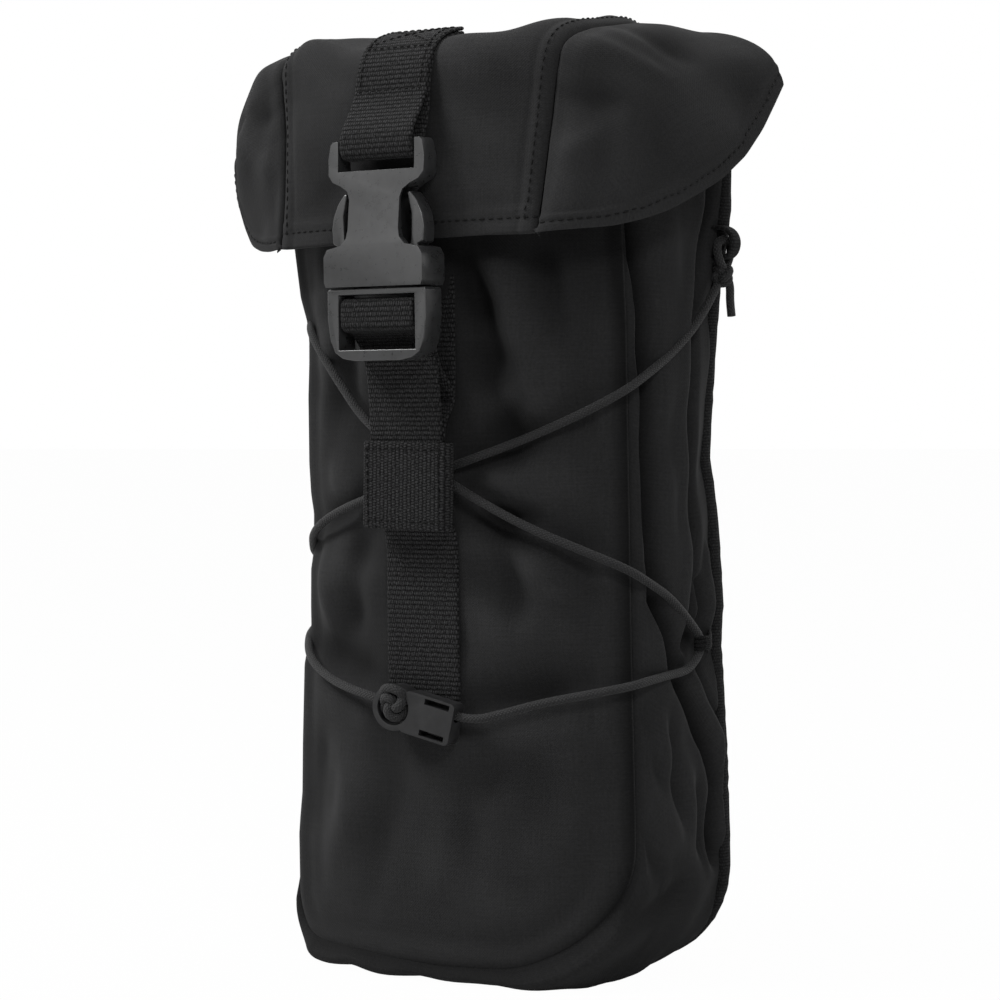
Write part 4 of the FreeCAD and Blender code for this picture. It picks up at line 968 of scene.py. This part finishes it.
# Five rows of webbing are sewn across the back, for weaving the pouch to a carrier.
BACK_ROWS = (22.0, 72.0, 122.0, 172.0, 222.0)
ROW_HALF, ROW_PITCH = 50, 25
for number, bottom in enumerate(BACK_ROWS, start=1):
    row_path = np.column_stack([np.linspace(-ROW_HALF, ROW_HALF, 161), np.full(161, 0.62),
                                np.full(161, bottom + STRAP_WIDTH / 2)])
    row_path[:, 1] += 0.35 * (1 - np.cos(2 * math.pi * (row_path[:, 0] + ROW_HALF) / ROW_PITCH)) / 2
    row = sweep_section("back_row_%d" % number, row_path, (0, 1, 0), (0, 0, 1),
                        strap_section(STRAP_WIDTH, 1.15))
    row.data.materials.append(strap_webbing)
    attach(row, "pouch")
    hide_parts("back_webbing_row_%d" % number)

# ------------------------------------------------------------------------------ corner loops and ties
# A tape loop is sewn into each upper back seam and the cord's end is knotted through it.  Lower
# down, a short tape tab whipped to the cord ties it to each gusset.
def joined(name, parts):
    """Several meshes of one body as one piece."""
    whole = bmesh.new()
    for part in parts:
        whole.from_mesh(part.data)
    mesh = parts[0].data.copy()
    mesh.name = name
    whole.to_mesh(mesh)
    whole.free()
    for part in parts:
        bpy.data.objects.remove(part)
    return in_scene(name, mesh)


def knot_line(middle, size_across, size_deep, turn=0.0, count=110):
    """A closed line wound like an overhand knot about its middle, millimetres."""
    a = np.linspace(0, 2 * math.pi, count, endpoint=False)
    radius = size_across * (0.62 + 0.38 * np.cos(3 * a))
    x = radius * np.cos(2 * a + turn)
    z = radius * np.sin(2 * a + turn)
    y = size_deep * np.sin(3 * a)
    return np.stack([middle[0] + x, middle[1] + y, middle[2] + z], axis=1)


for side, name in ((1, "right"), (-1, "left")):
    loop_line = smooth_line([(side * 60.2, -4.6, 217.6), (side * 63.4, -4.8, 218.0),
                             (side * 66.6, -5.0, 216.6), (side * 68.0, -5.0, 213.8),
                             (side * 67.2, -5.0, 210.4), (side * 64.6, -4.8, 208.9),
                             (side * 60.2, -4.6, 209.4)], 3)
    tangent = directions(loop_line)
    loop_out = np.stack([tangent[:, 2], np.zeros(len(tangent)), -tangent[:, 0]], axis=1)
    corner_tape = sweep_section(name + "_corner_tape", loop_line, loop_out, (0, 1, 0),
                                strap_section(5.4, 1.3))
    corner_tape.data.materials.append(tape_cloth)
    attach(corner_tape, "pouch")
    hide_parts(name + "_corner_loop")

    ring_turn = np.linspace(0, 2 * math.pi, 64, endpoint=False)
    ring = np.stack([side * (64.0 + 0.5 * np.sin(2 * ring_turn)), -5.2 + 3.6 * np.cos(ring_turn),
                     210.0 + 4.3 * np.sin(ring_turn)], axis=1)
    wrap = knot_line((side * 63.6, -5.6, 204.0), 2.5, 1.5, 0.4)
    tail = smooth_line([(side * 63.9, -4.0, 204.2), (side * 64.6, -2.8, 201.0), (side * 64.2, -2.4, 196.8),
                        (side * 64.9, -2.8, 192.0)], 2)
    parts = [round_tube("ring", placed(ring), CORD_RADIUS, 12, closed=True),
             round_tube("wrap", placed(wrap), CORD_RADIUS, 12, closed=True),
             round_tube("tail", placed(even_points(tail, 0.9)), CORD_RADIUS, 12)]
    corner_knot = joined(name + "_corner_knot", parts)
    corner_knot.data.materials.append(cord_cloth)
    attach(corner_knot, "pouch")
    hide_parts(name + "_cord_knot")

for side, name, middle in ((1, "right", (62.7, -18.9, 97.0)), (-1, "left", (-60.6, -16.6, 111.4))):
    whip_turn = np.linspace(0, 2 * math.pi * 5, 150)
    whip = np.stack([middle[0] + 1.75 * np.cos(whip_turn), middle[1] + 1.75 * np.sin(whip_turn),
                     middle[2] + np.linspace(-2.1, 2.1, 150)], axis=1)
    tab_line = smooth_line([(middle[0] + side * 1.6, middle[1] - 0.6, middle[2]),
                            (middle[0] + side * 1.9, middle[1] + 1.6, middle[2] + 0.3),
                            (middle[0] + side * 0.4, middle[1] + 4.6, middle[2] + 0.7),
                            (middle[0] - side * 2.6, middle[1] + 9.5, middle[2] + 1.3)], 3)
    tangent = directions(tab_line)
    tab_out = np.cross(tangent, (0, 0, 1))
    parts = [round_tube("whip", placed(whip), 0.0005, 7),
             sweep_section("tab", tab_line, tab_out, (0, 0, 1), strap_section(4.4, 1.1))]
    side_tie = joined(name + "_side_tie", parts)
    side_tie.data.materials.append(tape_cloth)
    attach(side_tie, "pouch")
    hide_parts(name + "_side_anchor")

# ------------------------------------------------------------------------------ lid
# The flap lid is cut in three: a middle panel that runs from the back edge over the top and down
# the front, and a wing sewn to each side of it.  The seams are turned and topstitched.
lid_path = smooth_line([(-1.2, 264.2), (-1.0, 270.2), (-2.4, 273.4), (-8, 274.6), (-30, 274.8),
                        (-54.6, 273.4), (-69.0, 271.4), (-75.9, 267.2), (-79.0, 259.2), (-79.5, 250),
                        (-79.5, 232), (-79.5, 214)], 3)
lid_line = even_points(np.column_stack([np.zeros(len(lid_path)), lid_path]), 0.9)[:, 1:]
lid_run = run_along(lid_line)
tangent = directions(lid_line)
lid_out = np.stack([tangent[:, 1], -tangent[:, 0]], axis=1)
LID_KNOTS = [(0, 47.0, 0.0), (8, 48.2, 0.2), (14, 49.0, 1.0), (36, 50.0, 2.6), (62, 50.2, 4.2),
             (76, 49.2, 6.6), (86, 48.2, 8.4), (95, 47.2, 9.4), (104, 46.4, 9.2), (122, 45.2, 6.4),
             (142, 44.4, 2.8)]
lid_half = np.interp(lid_run, [k[0] for k in LID_KNOTS], [k[1] for k in LID_KNOTS])
lid_fall = np.interp(lid_run, [k[0] for k in LID_KNOTS], [k[2] for k in LID_KNOTS])


def lid_point(step, x_share):
    """A point of the middle panel's outside: step counts along its line, x_share is -1 to 1 across."""
    x = lid_half[step] * x_share
    sag = lid_fall[step] * np.abs(x_share) ** 3.2
    hem_tilt = 0.0155 * x * smoothstep(lid_run[step], 95, 142)
    y = lid_line[step, 0] - lid_out[step, 0] * sag
    # The crown rises beside each seam and sags a little between them.
    on_top = smoothstep(lid_run[step], 14, 40) * (1 - smoothstep(lid_run[step], 70, 96))
    dip = 0.6 * hump(x, -4, 15) - 5.2 * hump(np.abs(x), 43, 13)
    dip = dip * on_top
    z = lid_line[step, 1] - lid_out[step, 1] * sag + hem_tilt - dip
    return np.stack([x, y, z], axis=-1)


LID_ROWS, LID_COLUMNS = len(lid_line), 110
# The hems are stitched this far from the edge of the middle panel and of the wings.
HEM_SEAM, WING_SEAM = 4.2, 3.3
steps_grid = np.repeat(np.arange(LID_ROWS)[:, None], LID_COLUMNS, 1)
share = bunched(LID_COLUMNS, 0.94)
share_grid = np.repeat(share[None, :], LID_ROWS, 0)
lid_grid = lid_point(steps_grid, share_grid)
from_seam = lid_half[steps_grid] * (1 - np.abs(share_grid))
from_hem = (lid_run[-1] - lid_run)[steps_grid]
relief = -1.1 * np.clip(1 - from_seam / 1.6, 0, 1) ** 2 + 0.45 * hump(from_seam, 3.0, 1.5)
relief = relief - 0.35 * hump(from_seam, 5.4, 0.9)
relief = relief + 0.35 * (1 - smoothstep(from_hem, 7.0, 8.2)) - 0.3 * hump(from_hem, HEM_SEAM, 0.8)
relief = relief + cloth_waves(lid_grid[..., 0], lid_run[steps_grid], 5, 36, 0.8) * smoothstep(from_seam, 1, 9)
relief = relief + creases(lid_grid[..., 0], lid_run[steps_grid], [
    (14, 96, 38, 118, 4.5, 0.8), (14, 108, 40, 136, 4.0, -0.7), (-14, 100, -38, 84, 4.5, 0.7),
    (-15, 118, -38, 130, 4.0, -0.6), (18, 78, 42, 98, 5.0, -0.8), (20, 124, 40, 124, 5.0, 0.6)])
normal_y = lid_out[steps_grid, 0]
normal_z = lid_out[steps_grid, 1]
lid_grid[..., 1] += normal_y * relief
lid_grid[..., 2] += normal_z * relief
# Painted light and shade: the middle panel's colour is lighter where its relief stands out and darker where
# it sinks.
lid_cloth = new_mesh("lid_middle_cloth", placed(lid_grid).reshape(-1, 3),
                     grid_faces(LID_ROWS, LID_COLUMNS, flip=True),
                     cloth_uv(lid_grid[..., 0], lid_run[steps_grid]),
                     wear_and_painted_shade=np.clip(1.08 + 0.16 * relief, 0.4, 1.35))
thicken(lid_cloth, LID_THICK)
lid_cloth.data.materials.append(pouch_cloth)
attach(lid_cloth, "lid")
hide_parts("lid_middle_panel")

HEM_LINES = {
    "right": [(0, 44.6, -76.9, 214.6), (0.06, 50.0, -75.4, 215.2), (0.12, 56.0, -72.0, 215.6),
              (0.20, 63.0, -65.0, 216.3), (0.28, 68.5, -57.5, 218.3), (0.36, 72.5, -50.0, 221.0),
              (0.46, 75.5, -40.0, 225.5), (0.56, 77.4, -30.0, 230.0), (0.68, 79.2, -19.5, 237.0),
              (0.80, 80.2, -11.0, 245.0), (0.90, 80.6, -4.5, 252.5), (1.0, 80.6, 1.0, 258.5)],
    "left": [(0, 44.0, -76.9, 213.3), (0.06, 50.5, -72.8, 213.0), (0.12, 58.2, -67.2, 213.6),
             (0.18, 65.5, -62.2, 215.6), (0.24, 71.0, -58.4, 221.0), (0.31, 74.4, -57.0, 228.5),
             (0.40, 76.6, -55.2, 236.5), (0.50, 79.2, -47.0, 242.0), (0.62, 80.4, -34.0, 246.0),
             (0.78, 80.6, -18.0, 250.0), (0.90, 80.6, -7.0, 254.0), (1.0, 80.6, 1.0, 258.5)],
}
SWELL = {
    "right": [(0, 0.0, 0.75, -0.6, 0.1), (0.15, 2.6, 0.72, -0.66, 0.15), (0.30, 5.0, 0.74, -0.58, 0.3),
              (0.50, 7.0, 0.72, -0.42, 0.55), (0.75, 8.2, 0.62, -0.16, 0.77), (1.0, 8.2, 0.52, 0.0, 0.85)],
    "left": [(0, 0.0, 0.75, -0.6, 0.1), (0.15, 2.4, 0.74, -0.62, 0.15), (0.30, 5.2, 0.78, -0.56, 0.22),
             (0.50, 7.6, 0.76, -0.42, 0.45), (0.75, 8.4, 0.62, -0.16, 0.77), (1.0, 8.2, 0.52, 0.0, 0.85)],
}
WING_ROWS, WING_COLUMNS = 150, 64
WING_LENGTH = 130
seam_first = int(np.argmin(np.abs(lid_run - 9.0)))
wing_edges = {}
for side, name in ((1, "right"), (-1, "left")):
    along_wing = np.linspace(0, 1, WING_ROWS)
    seam_steps = LID_ROWS - 1 - along_wing * (LID_ROWS - 1 - seam_first)
    every = np.arange(LID_ROWS)
    edge_points = lid_point(every, np.full(LID_ROWS, float(side)))
    seam = np.stack([np.interp(seam_steps, every, edge_points[:, k]) for k in range(3)], axis=1)
    knots = np.array(HEM_LINES[name])
    hem = np.stack([np.interp(along_wing, knots[:, 0], knots[:, k]) for k in (1, 2, 3)], axis=1)
    for _ in range(8):
        hem[1:-1] = 0.5 * hem[1:-1] + 0.25 * (hem[:-2] + hem[2:])
    hem[:, 0] *= side
    hem[0] = seam[0]
    swell = np.array(SWELL[name])
    push = np.stack([np.interp(along_wing, swell[:, 0], swell[:, 1] * swell[:, k])
                     for k in (2, 3, 4)], axis=1)
    push[:, 0] *= side
    t = np.linspace(0, 1, WING_COLUMNS)[None, :, None]
    wing_grid = seam[:, None, :] * (1 - t) + hem[:, None, :] * t
    wing_grid = wing_grid + push[:, None, :] * (4 * t * (1 - t)) ** 0.85
    length_across = np.linalg.norm(hem - seam, axis=1)[:, None] * 1.15
    near_seam = t[..., 0] * length_across
    near_hem = (1 - t[..., 0]) * length_across
    across_step = np.gradient(wing_grid, axis=1)
    along_step = np.gradient(wing_grid, axis=0)
    normal = np.cross(across_step, along_step) * side
    size_of = np.linalg.norm(normal, axis=2, keepdims=True)
    normal = normal / np.maximum(size_of, 1e-9)
    toward = (normal * push[:, None, :]).sum(axis=2, keepdims=True)
    normal = np.where(toward < 0, -normal, normal)
    lumps = -1.3 * np.clip(1 - near_seam / 2.2, 0, 1) ** 2
    lumps = lumps + 0.4 * (1 - smoothstep(near_hem, 5.2, 6.4)) - 0.3 * hump(near_hem, WING_SEAM, 0.7)
    wing_run = along_wing[:, None] * WING_LENGTH + 0 * near_seam
    loose = smoothstep(near_seam, 1.0, 8.0) * smoothstep(near_hem, 1.0, 9.0)
    lumps = lumps + cloth_waves(wing_run, near_seam, 12 if side > 0 else 14, 30, 0.9) * loose
    lumps = lumps + creases(wing_run, near_seam, [
        (24, 4, 44, 24, 3.6, 1.3), (40, 3, 58, 30, 4.0, -1.3),
        (62, 4, 78, 32, 4.4, 1.2), (84, 4, 92, 30, 4.4, -0.9)])
    lumps[0] = 0
    wing_grid = wing_grid + normal * lumps[..., None]
    # The wing's edge is turned in and runs on under the middle panel to be sewn.
    under = np.stack([np.zeros(WING_ROWS)] + [np.interp(seam_steps, every, -lid_out[:, k])
                                              for k in (0, 1)], axis=1)
    tucked = [wing_grid[:, 0] + under * 2.4 + np.array([-side * reach, 0, 0]) for reach in (4.5, 0.3)]
    sewn_grid = np.concatenate([np.stack(tucked, axis=1), wing_grid], axis=1)
    sewn_across = np.concatenate([near_seam[:, :1] - 5.0, near_seam[:, :1] - 1.0, near_seam], axis=1)
    # Painted shade: the edge tucked under the middle panel is darkened to 0.4, and the wing is painted
    # lighter on its lumps and darker in its hollows.
    sewn_painted_shade = np.concatenate([0 * lumps[:, :2] + 0.4, np.clip(1.12 + 0.14 * lumps, 0.4, 1.35)], axis=1)
    wing = new_mesh(name + "_wing_cloth", placed(sewn_grid).reshape(-1, 3),
                    grid_faces(WING_ROWS, WING_COLUMNS + 2, flip=side < 0),
                    cloth_uv(sewn_across, along_wing[:, None] * WING_LENGTH + 0 * sewn_across),
                    wear_and_painted_shade=sewn_painted_shade)
    thicken(wing, LID_THICK)
    wing.data.materials.append(pouch_cloth)
    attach(wing, "lid")
    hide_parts("lid_%s_wing" % name)
    wing_edges[name] = (wing_grid, normal, near_hem)

# One strap holds the upper buckle half: it is doubled through the buckle's bar, and both ends are
# stitched together through the top of the lid with a long box of stitches.
def lid_offset(low_z, high_y, gap):
    """The lid's middle line outwards by a gap, from the top down to a height."""
    chosen = [(lid_line[i, 0] + lid_out[i, 0] * gap, lid_line[i, 1] + lid_out[i, 1] * gap)
              for i in range(LID_ROWS) if lid_line[i, 0] < high_y and lid_line[i, 1] > low_z]
    return chosen[::5]


FOLD_Y, FOLD_Z, FOLD_R = -86.0, 240.0, 3.0
fold = [(FOLD_Y + FOLD_R * math.cos(math.radians(a)), FOLD_Z + FOLD_R * math.sin(math.radians(a)))
        for a in (20, -5, -30, -60, -90, -120, -150, -175)]
strap_line = lid_offset(250.5, -62.0, 0.8) + [(-81.3, 246.6), (-82.6, 243.4)] + fold
strap_line += [(-88.7, 243.6), (-86.6, 247.2), (-84.0, 250.6)] + lid_offset(254.0, -62.0, 2.1)[::-1]
lid_webbing = strap_along("lid_webbing", strap_line, rounds=2, spacing=0.55)
lid_webbing.data.materials.append(strap_webbing)
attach(lid_webbing, "lid")
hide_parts("lid_strap")

# ------------------------------------------------------------------------------ stitching
# Bonded black thread, about four stitches to the centimetre.  One small run tree lays every row.
stitch_tree = bpy.data.node_groups.new("stitch_run", "GeometryNodeTree")
socket_ids = {}
for label, kind, default in (("Rows", "NodeSocketGeometry", None),
                             ("Pitch", "NodeSocketFloat", 0.0026),
                             ("Stitch length", "NodeSocketFloat", 0.0019),
                             ("Thread", "NodeSocketFloat", 0.00055),
                             ("Thread material", "NodeSocketMaterial", None)):
    socket = stitch_tree.interface.new_socket(label, in_out="INPUT", socket_type=kind)
    if default is not None:
        socket.default_value = default
    socket_ids[label] = socket.identifier
stitch_tree.interface.new_socket("Stitches", in_out="OUTPUT", socket_type="NodeSocketGeometry")
nodes, links = stitch_tree.nodes, stitch_tree.links
tree_in, tree_out = nodes.new("NodeGroupInput"), nodes.new("NodeGroupOutput")
to_curve = nodes.new("GeometryNodeMeshToCurve")
to_points = nodes.new("GeometryNodeCurveToPoints")
to_points.mode = "LENGTH"
one_stitch = nodes.new("GeometryNodeMeshUVSphere")
one_stitch.inputs["Segments"].default_value = 6
one_stitch.inputs["Rings"].default_value = 4
one_stitch.inputs["Radius"].default_value = 0.5
stitch_size = nodes.new("ShaderNodeCombineXYZ")
shaped = nodes.new("GeometryNodeTransform")
turned = nodes.new("FunctionNodeAlignRotationToVector")
turned.axis = "X"
uneven_size = nodes.new("FunctionNodeRandomValue")
uneven_size.data_type = "FLOAT"
uneven_size.inputs[2].default_value = 0.85
uneven_size.inputs[3].default_value = 1.12
uneven_size.inputs["Seed"].default_value = 7
placed_stitches = nodes.new("GeometryNodeInstanceOnPoints")
realized = nodes.new("GeometryNodeRealizeInstances")
with_thread = nodes.new("GeometryNodeSetMaterial")
for source, source_socket, target, target_socket in (
        (tree_in, "Rows", to_curve, "Mesh"), (to_curve, "Curve", to_points, "Curve"),
        (tree_in, "Pitch", to_points, "Length"), (tree_in, "Stitch length", stitch_size, "X"),
        (tree_in, "Thread", stitch_size, "Y"), (tree_in, "Thread", stitch_size, "Z"),
        (one_stitch, "Mesh", shaped, "Geometry"), (stitch_size, 0, shaped, "Scale"),
        (to_points, "Tangent", turned, "Vector"), (to_points, "Points", placed_stitches, "Points"),
        (shaped, "Geometry", placed_stitches, "Instance"), (turned, 0, placed_stitches, "Rotation"),
        (uneven_size, 1, placed_stitches, "Scale"),
        (placed_stitches, "Instances", realized, "Geometry"),
        (realized, "Geometry", with_thread, "Geometry"),
        (tree_in, "Thread material", with_thread, "Material"),
        (with_thread, "Geometry", tree_out, "Stitches")):
    links.new(source.outputs[source_socket], target.inputs[target_socket])

thread, tree, shader = surface_material("sewing_thread", 0.6, sheen=0.02, specular=0.1)
shader.inputs["Base Color"].default_value = (0.007, 0.007, 0.007, 1)


def sew(name, rows, body, slot, pitch=0.0026, length=0.0018, thick=0.00058):
    """Rows of stitches, each row a line of points in pouch millimetres on the cloth."""
    vertices, edges = [], []
    for row in rows:
        first = len(vertices)
        vertices.extend(map(tuple, placed(np.array(row, float))))
        edges.extend((first + i, first + i + 1) for i in range(len(row) - 1))
    mesh = bpy.data.meshes.new(name + "_rows")
    mesh.from_pydata(vertices, edges, [])
    holder = in_scene(name + "_rows", mesh)
    run = holder.modifiers.new("stitches", "NODES")
    run.node_group = stitch_tree
    run[socket_ids["Pitch"]] = pitch
    run[socket_ids["Stitch length"]] = length
    run[socket_ids["Thread"]] = thick
    run[socket_ids["Thread material"]] = thread
    result = evaluated_mesh(holder)
    bpy.data.objects.remove(holder)
    made = in_scene(name, result)
    if not made.data.materials:
        made.data.materials.append(thread)
    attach(made, body)
    return made


lid_rows = []
for side in (-1, 1):
    row = []
    for step in range(seam_first, LID_ROWS - 5):
        wanted_share = side * (1 - 3.0 / lid_half[step])
        column = int(np.argmin(np.abs(share - wanted_share)))
        point = lid_grid[step, column].copy()
        point[1:] += lid_out[step] * 0.1
        row.append(point)
    lid_rows.append(row)
hem_step = int(np.argmin(np.abs(lid_run - (lid_run[-1] - HEM_SEAM))))
hem_row = lid_grid[hem_step].copy()
hem_row[:, 1:] += lid_out[hem_step] * 0.12
lid_rows.append(hem_row[4:-4])
for name in ("right", "left"):
    wing_grid, normal, near_hem = wing_edges[name]
    row = []
    for i in range(6, WING_ROWS - 2):
        column = int(np.argmin(np.abs(near_hem[i] - WING_SEAM)))
        if 0 < column < WING_COLUMNS - 1:
            row.append(wing_grid[i, column] + normal[i, column] * 0.12)
    for _ in range(3):
        inner = [row[i] * 0.5 + (row[i - 1] + row[i + 1]) * 0.25 for i in range(1, len(row) - 1)]
        row = [row[0]] + inner + [row[-1]]
    lid_rows.append(row)
sew("lid_stitches", lid_rows, "lid", "pouch_fabric")

top_steps = [i for i in range(LID_ROWS) if lid_line[i, 0] < -64.0 and lid_line[i, 1] > 256.0]


def on_strap(step, x):
    y, z = lid_line[step] + lid_out[step] * 2.78
    return (x, y, z)


# Pitch, length and thread of the stitches through webbing, in metres.
STRAP_STITCH = (0.0022, 0.0017, 0.0005)
BOX_HALF = 10.4
box_rows = []
for x in (-BOX_HALF, BOX_HALF):
    box_rows.append([on_strap(step, x) for step in top_steps])
for step in (top_steps[0], top_steps[len(top_steps) // 2], top_steps[-1]):
    box_rows.append([on_strap(step, x) for x in np.linspace(-BOX_HALF, BOX_HALF, 12)])
diagonal = top_steps[:len(top_steps) // 2]
for sign in (-1, 1):
    box_rows.append([on_strap(step, sign * (BOX_HALF - 2 * BOX_HALF * i / (len(diagonal) - 1)))
                     for i, step in enumerate(diagonal)])
sew("lid_strap_stitches", box_rows, "lid", "webbing", *STRAP_STITCH)

keeper_rows = [[(x, -78.9 if abs(x) < 11 else -78.75, z - KEEPER_SLANT * x)
                for x in np.linspace(-12.2, 12.2, 14)] for z in (134.6, 155.2)]
keeper_rows += [[(x, -78.75, z) for z in np.linspace(134.6, 155.2, 12)] for x in (-12.4, 12.4)]
sew("keeper_stitches", keeper_rows, "pouch", "webbing", *STRAP_STITCH)
strap_rows = [[(x, y, z) for x in np.linspace(-11, 11, 12)]
              for y, z in ((-71.25, 169.4), (-71.25, 170.8), (-69.95, 83.4), (-69.95, 84.8))]
back_rows = []
for bottom in BACK_ROWS:
    for x in (1.2 - ROW_HALF, -ROW_PITCH, 0, ROW_PITCH, ROW_HALF - 1.2):
        for shift in (-0.6, 0.6):
            back_rows.append([(x + shift, 1.32, z) for z in np.linspace(bottom + 1.5, bottom + 23.5, 12)])
sew("strap_stitches", strap_rows + back_rows, "pouch", "webbing", *STRAP_STITCH)

# ------------------------------------------------------------------------------ buckle and cord hook
# Side-release buckle and cord hook, injection-moulded in black nylon with a satin, slightly worn
# surface.  Every edge has the small radius of its mould.
plastic, tree, shader = surface_material("moulded_nylon", 0.36, specular=0.85)
place = object_place(tree)
scuffs = noise(tree, place, 260, 5, 0.65)
tree.links.new(graded(tree, scuffs, (0.026, 0.0265, 0.027), (0.044, 0.0445, 0.0455), 0.3, 0.75),
               shader.inputs["Base Color"])
tree.links.new(maths(tree, "ADD", maths(tree, "MULTIPLY", noise(tree, place, 520, 4), 0.20), 0.20),
               shader.inputs["Roughness"])


hook_plastic, tree, shader = surface_material("hook_nylon", 0.45, specular=0.35)
scuffs = noise(tree, object_place(tree), 300, 4)
tree.links.new(graded(tree, scuffs, (0.013, 0.013, 0.0135), (0.026, 0.026, 0.027), 0.3, 0.75),
               shader.inputs["Base Color"])


def moulded(node, name, body, radius, material=plastic):
    """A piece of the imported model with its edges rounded."""
    mesh = bpy.data.objects[node].data.copy()
    mesh.name = name
    work = bmesh.new()
    work.from_mesh(mesh)
    bmesh.ops.remove_doubles(work, verts=work.verts, dist=1e-6)
    bmesh.ops.dissolve_limit(work, angle_limit=math.radians(1.5), verts=work.verts, edges=work.edges)
    work.to_mesh(mesh)
    work.free()
    mesh.materials.clear()
    mesh.materials.append(material)
    mesh.polygons.foreach_set("use_smooth", [True] * len(mesh.polygons))
    made = in_scene(name, mesh)
    rounded_edges = made.modifiers.new("mould radius", "BEVEL")
    rounded_edges.width = radius * MM
    rounded_edges.segments = 3
    rounded_edges.limit_method = "ANGLE"
    rounded_edges.angle_limit = math.radians(38)
    rounded_edges.harden_normals = True
    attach(made, body)
    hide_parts(node)
    return made


moulded("buckle_upper_half", "buckle_socket", "buckle_upper", 0.55)
moulded("buckle_lower_half", "buckle_plug", "buckle_lower", 0.5)
moulded("left_prong", "left_prong_moulding", "prong_left", 0.4)
moulded("right_prong", "right_prong_moulding", "prong_right", 0.4)
hook = moulded("cord_hook", "hook_moulding", "hook", 0.4, hook_plastic)
hook_right = max(v.co.x for v in hook.data.vertices)
hook_base = min(v.co.z for v in hook.data.vertices)
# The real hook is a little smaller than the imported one: its right end stays, its base is 0.4 mm up.
HOOK_WIDTH_SHARE, HOOK_HEIGHT_SHARE, HOOK_LIFT = 0.96, 0.89, 0.0004
for v in hook.data.vertices:
    v.co.x = hook_right + (v.co.x - hook_right) * HOOK_WIDTH_SHARE
    v.co.z = hook_base + HOOK_LIFT + (v.co.z - hook_base) * HOOK_HEIGHT_SHARE

# The cord's end is tied in a fat knot that sits in the hook's cup and stands out in front of it.
knot_middle = (-6.4, -74.8, 81.6)
hook_knot_parts = [
    round_tube("knot", placed(knot_line(knot_middle, 3.7, 1.7, 0.9, 140)), 0.0015, 12, closed=True),
    round_tube("over", placed(even_points(smooth_line([
        (-12.0, -73.2, 82.2), (-10.6, -75.4, 85.2), (-7.6, -77.2, 86.8), (-3.8, -77.0, 86.0),
        (-2.6, -75.4, 83.6), (-4.4, -73.6, 81.2)], 3), 0.7)), 0.0013, 12)]
hook_knot = joined("hook_knot_cord", hook_knot_parts)
hook_knot.data.materials.append(cord_cloth)
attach(hook_knot, "pouch")
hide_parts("hook_knot")
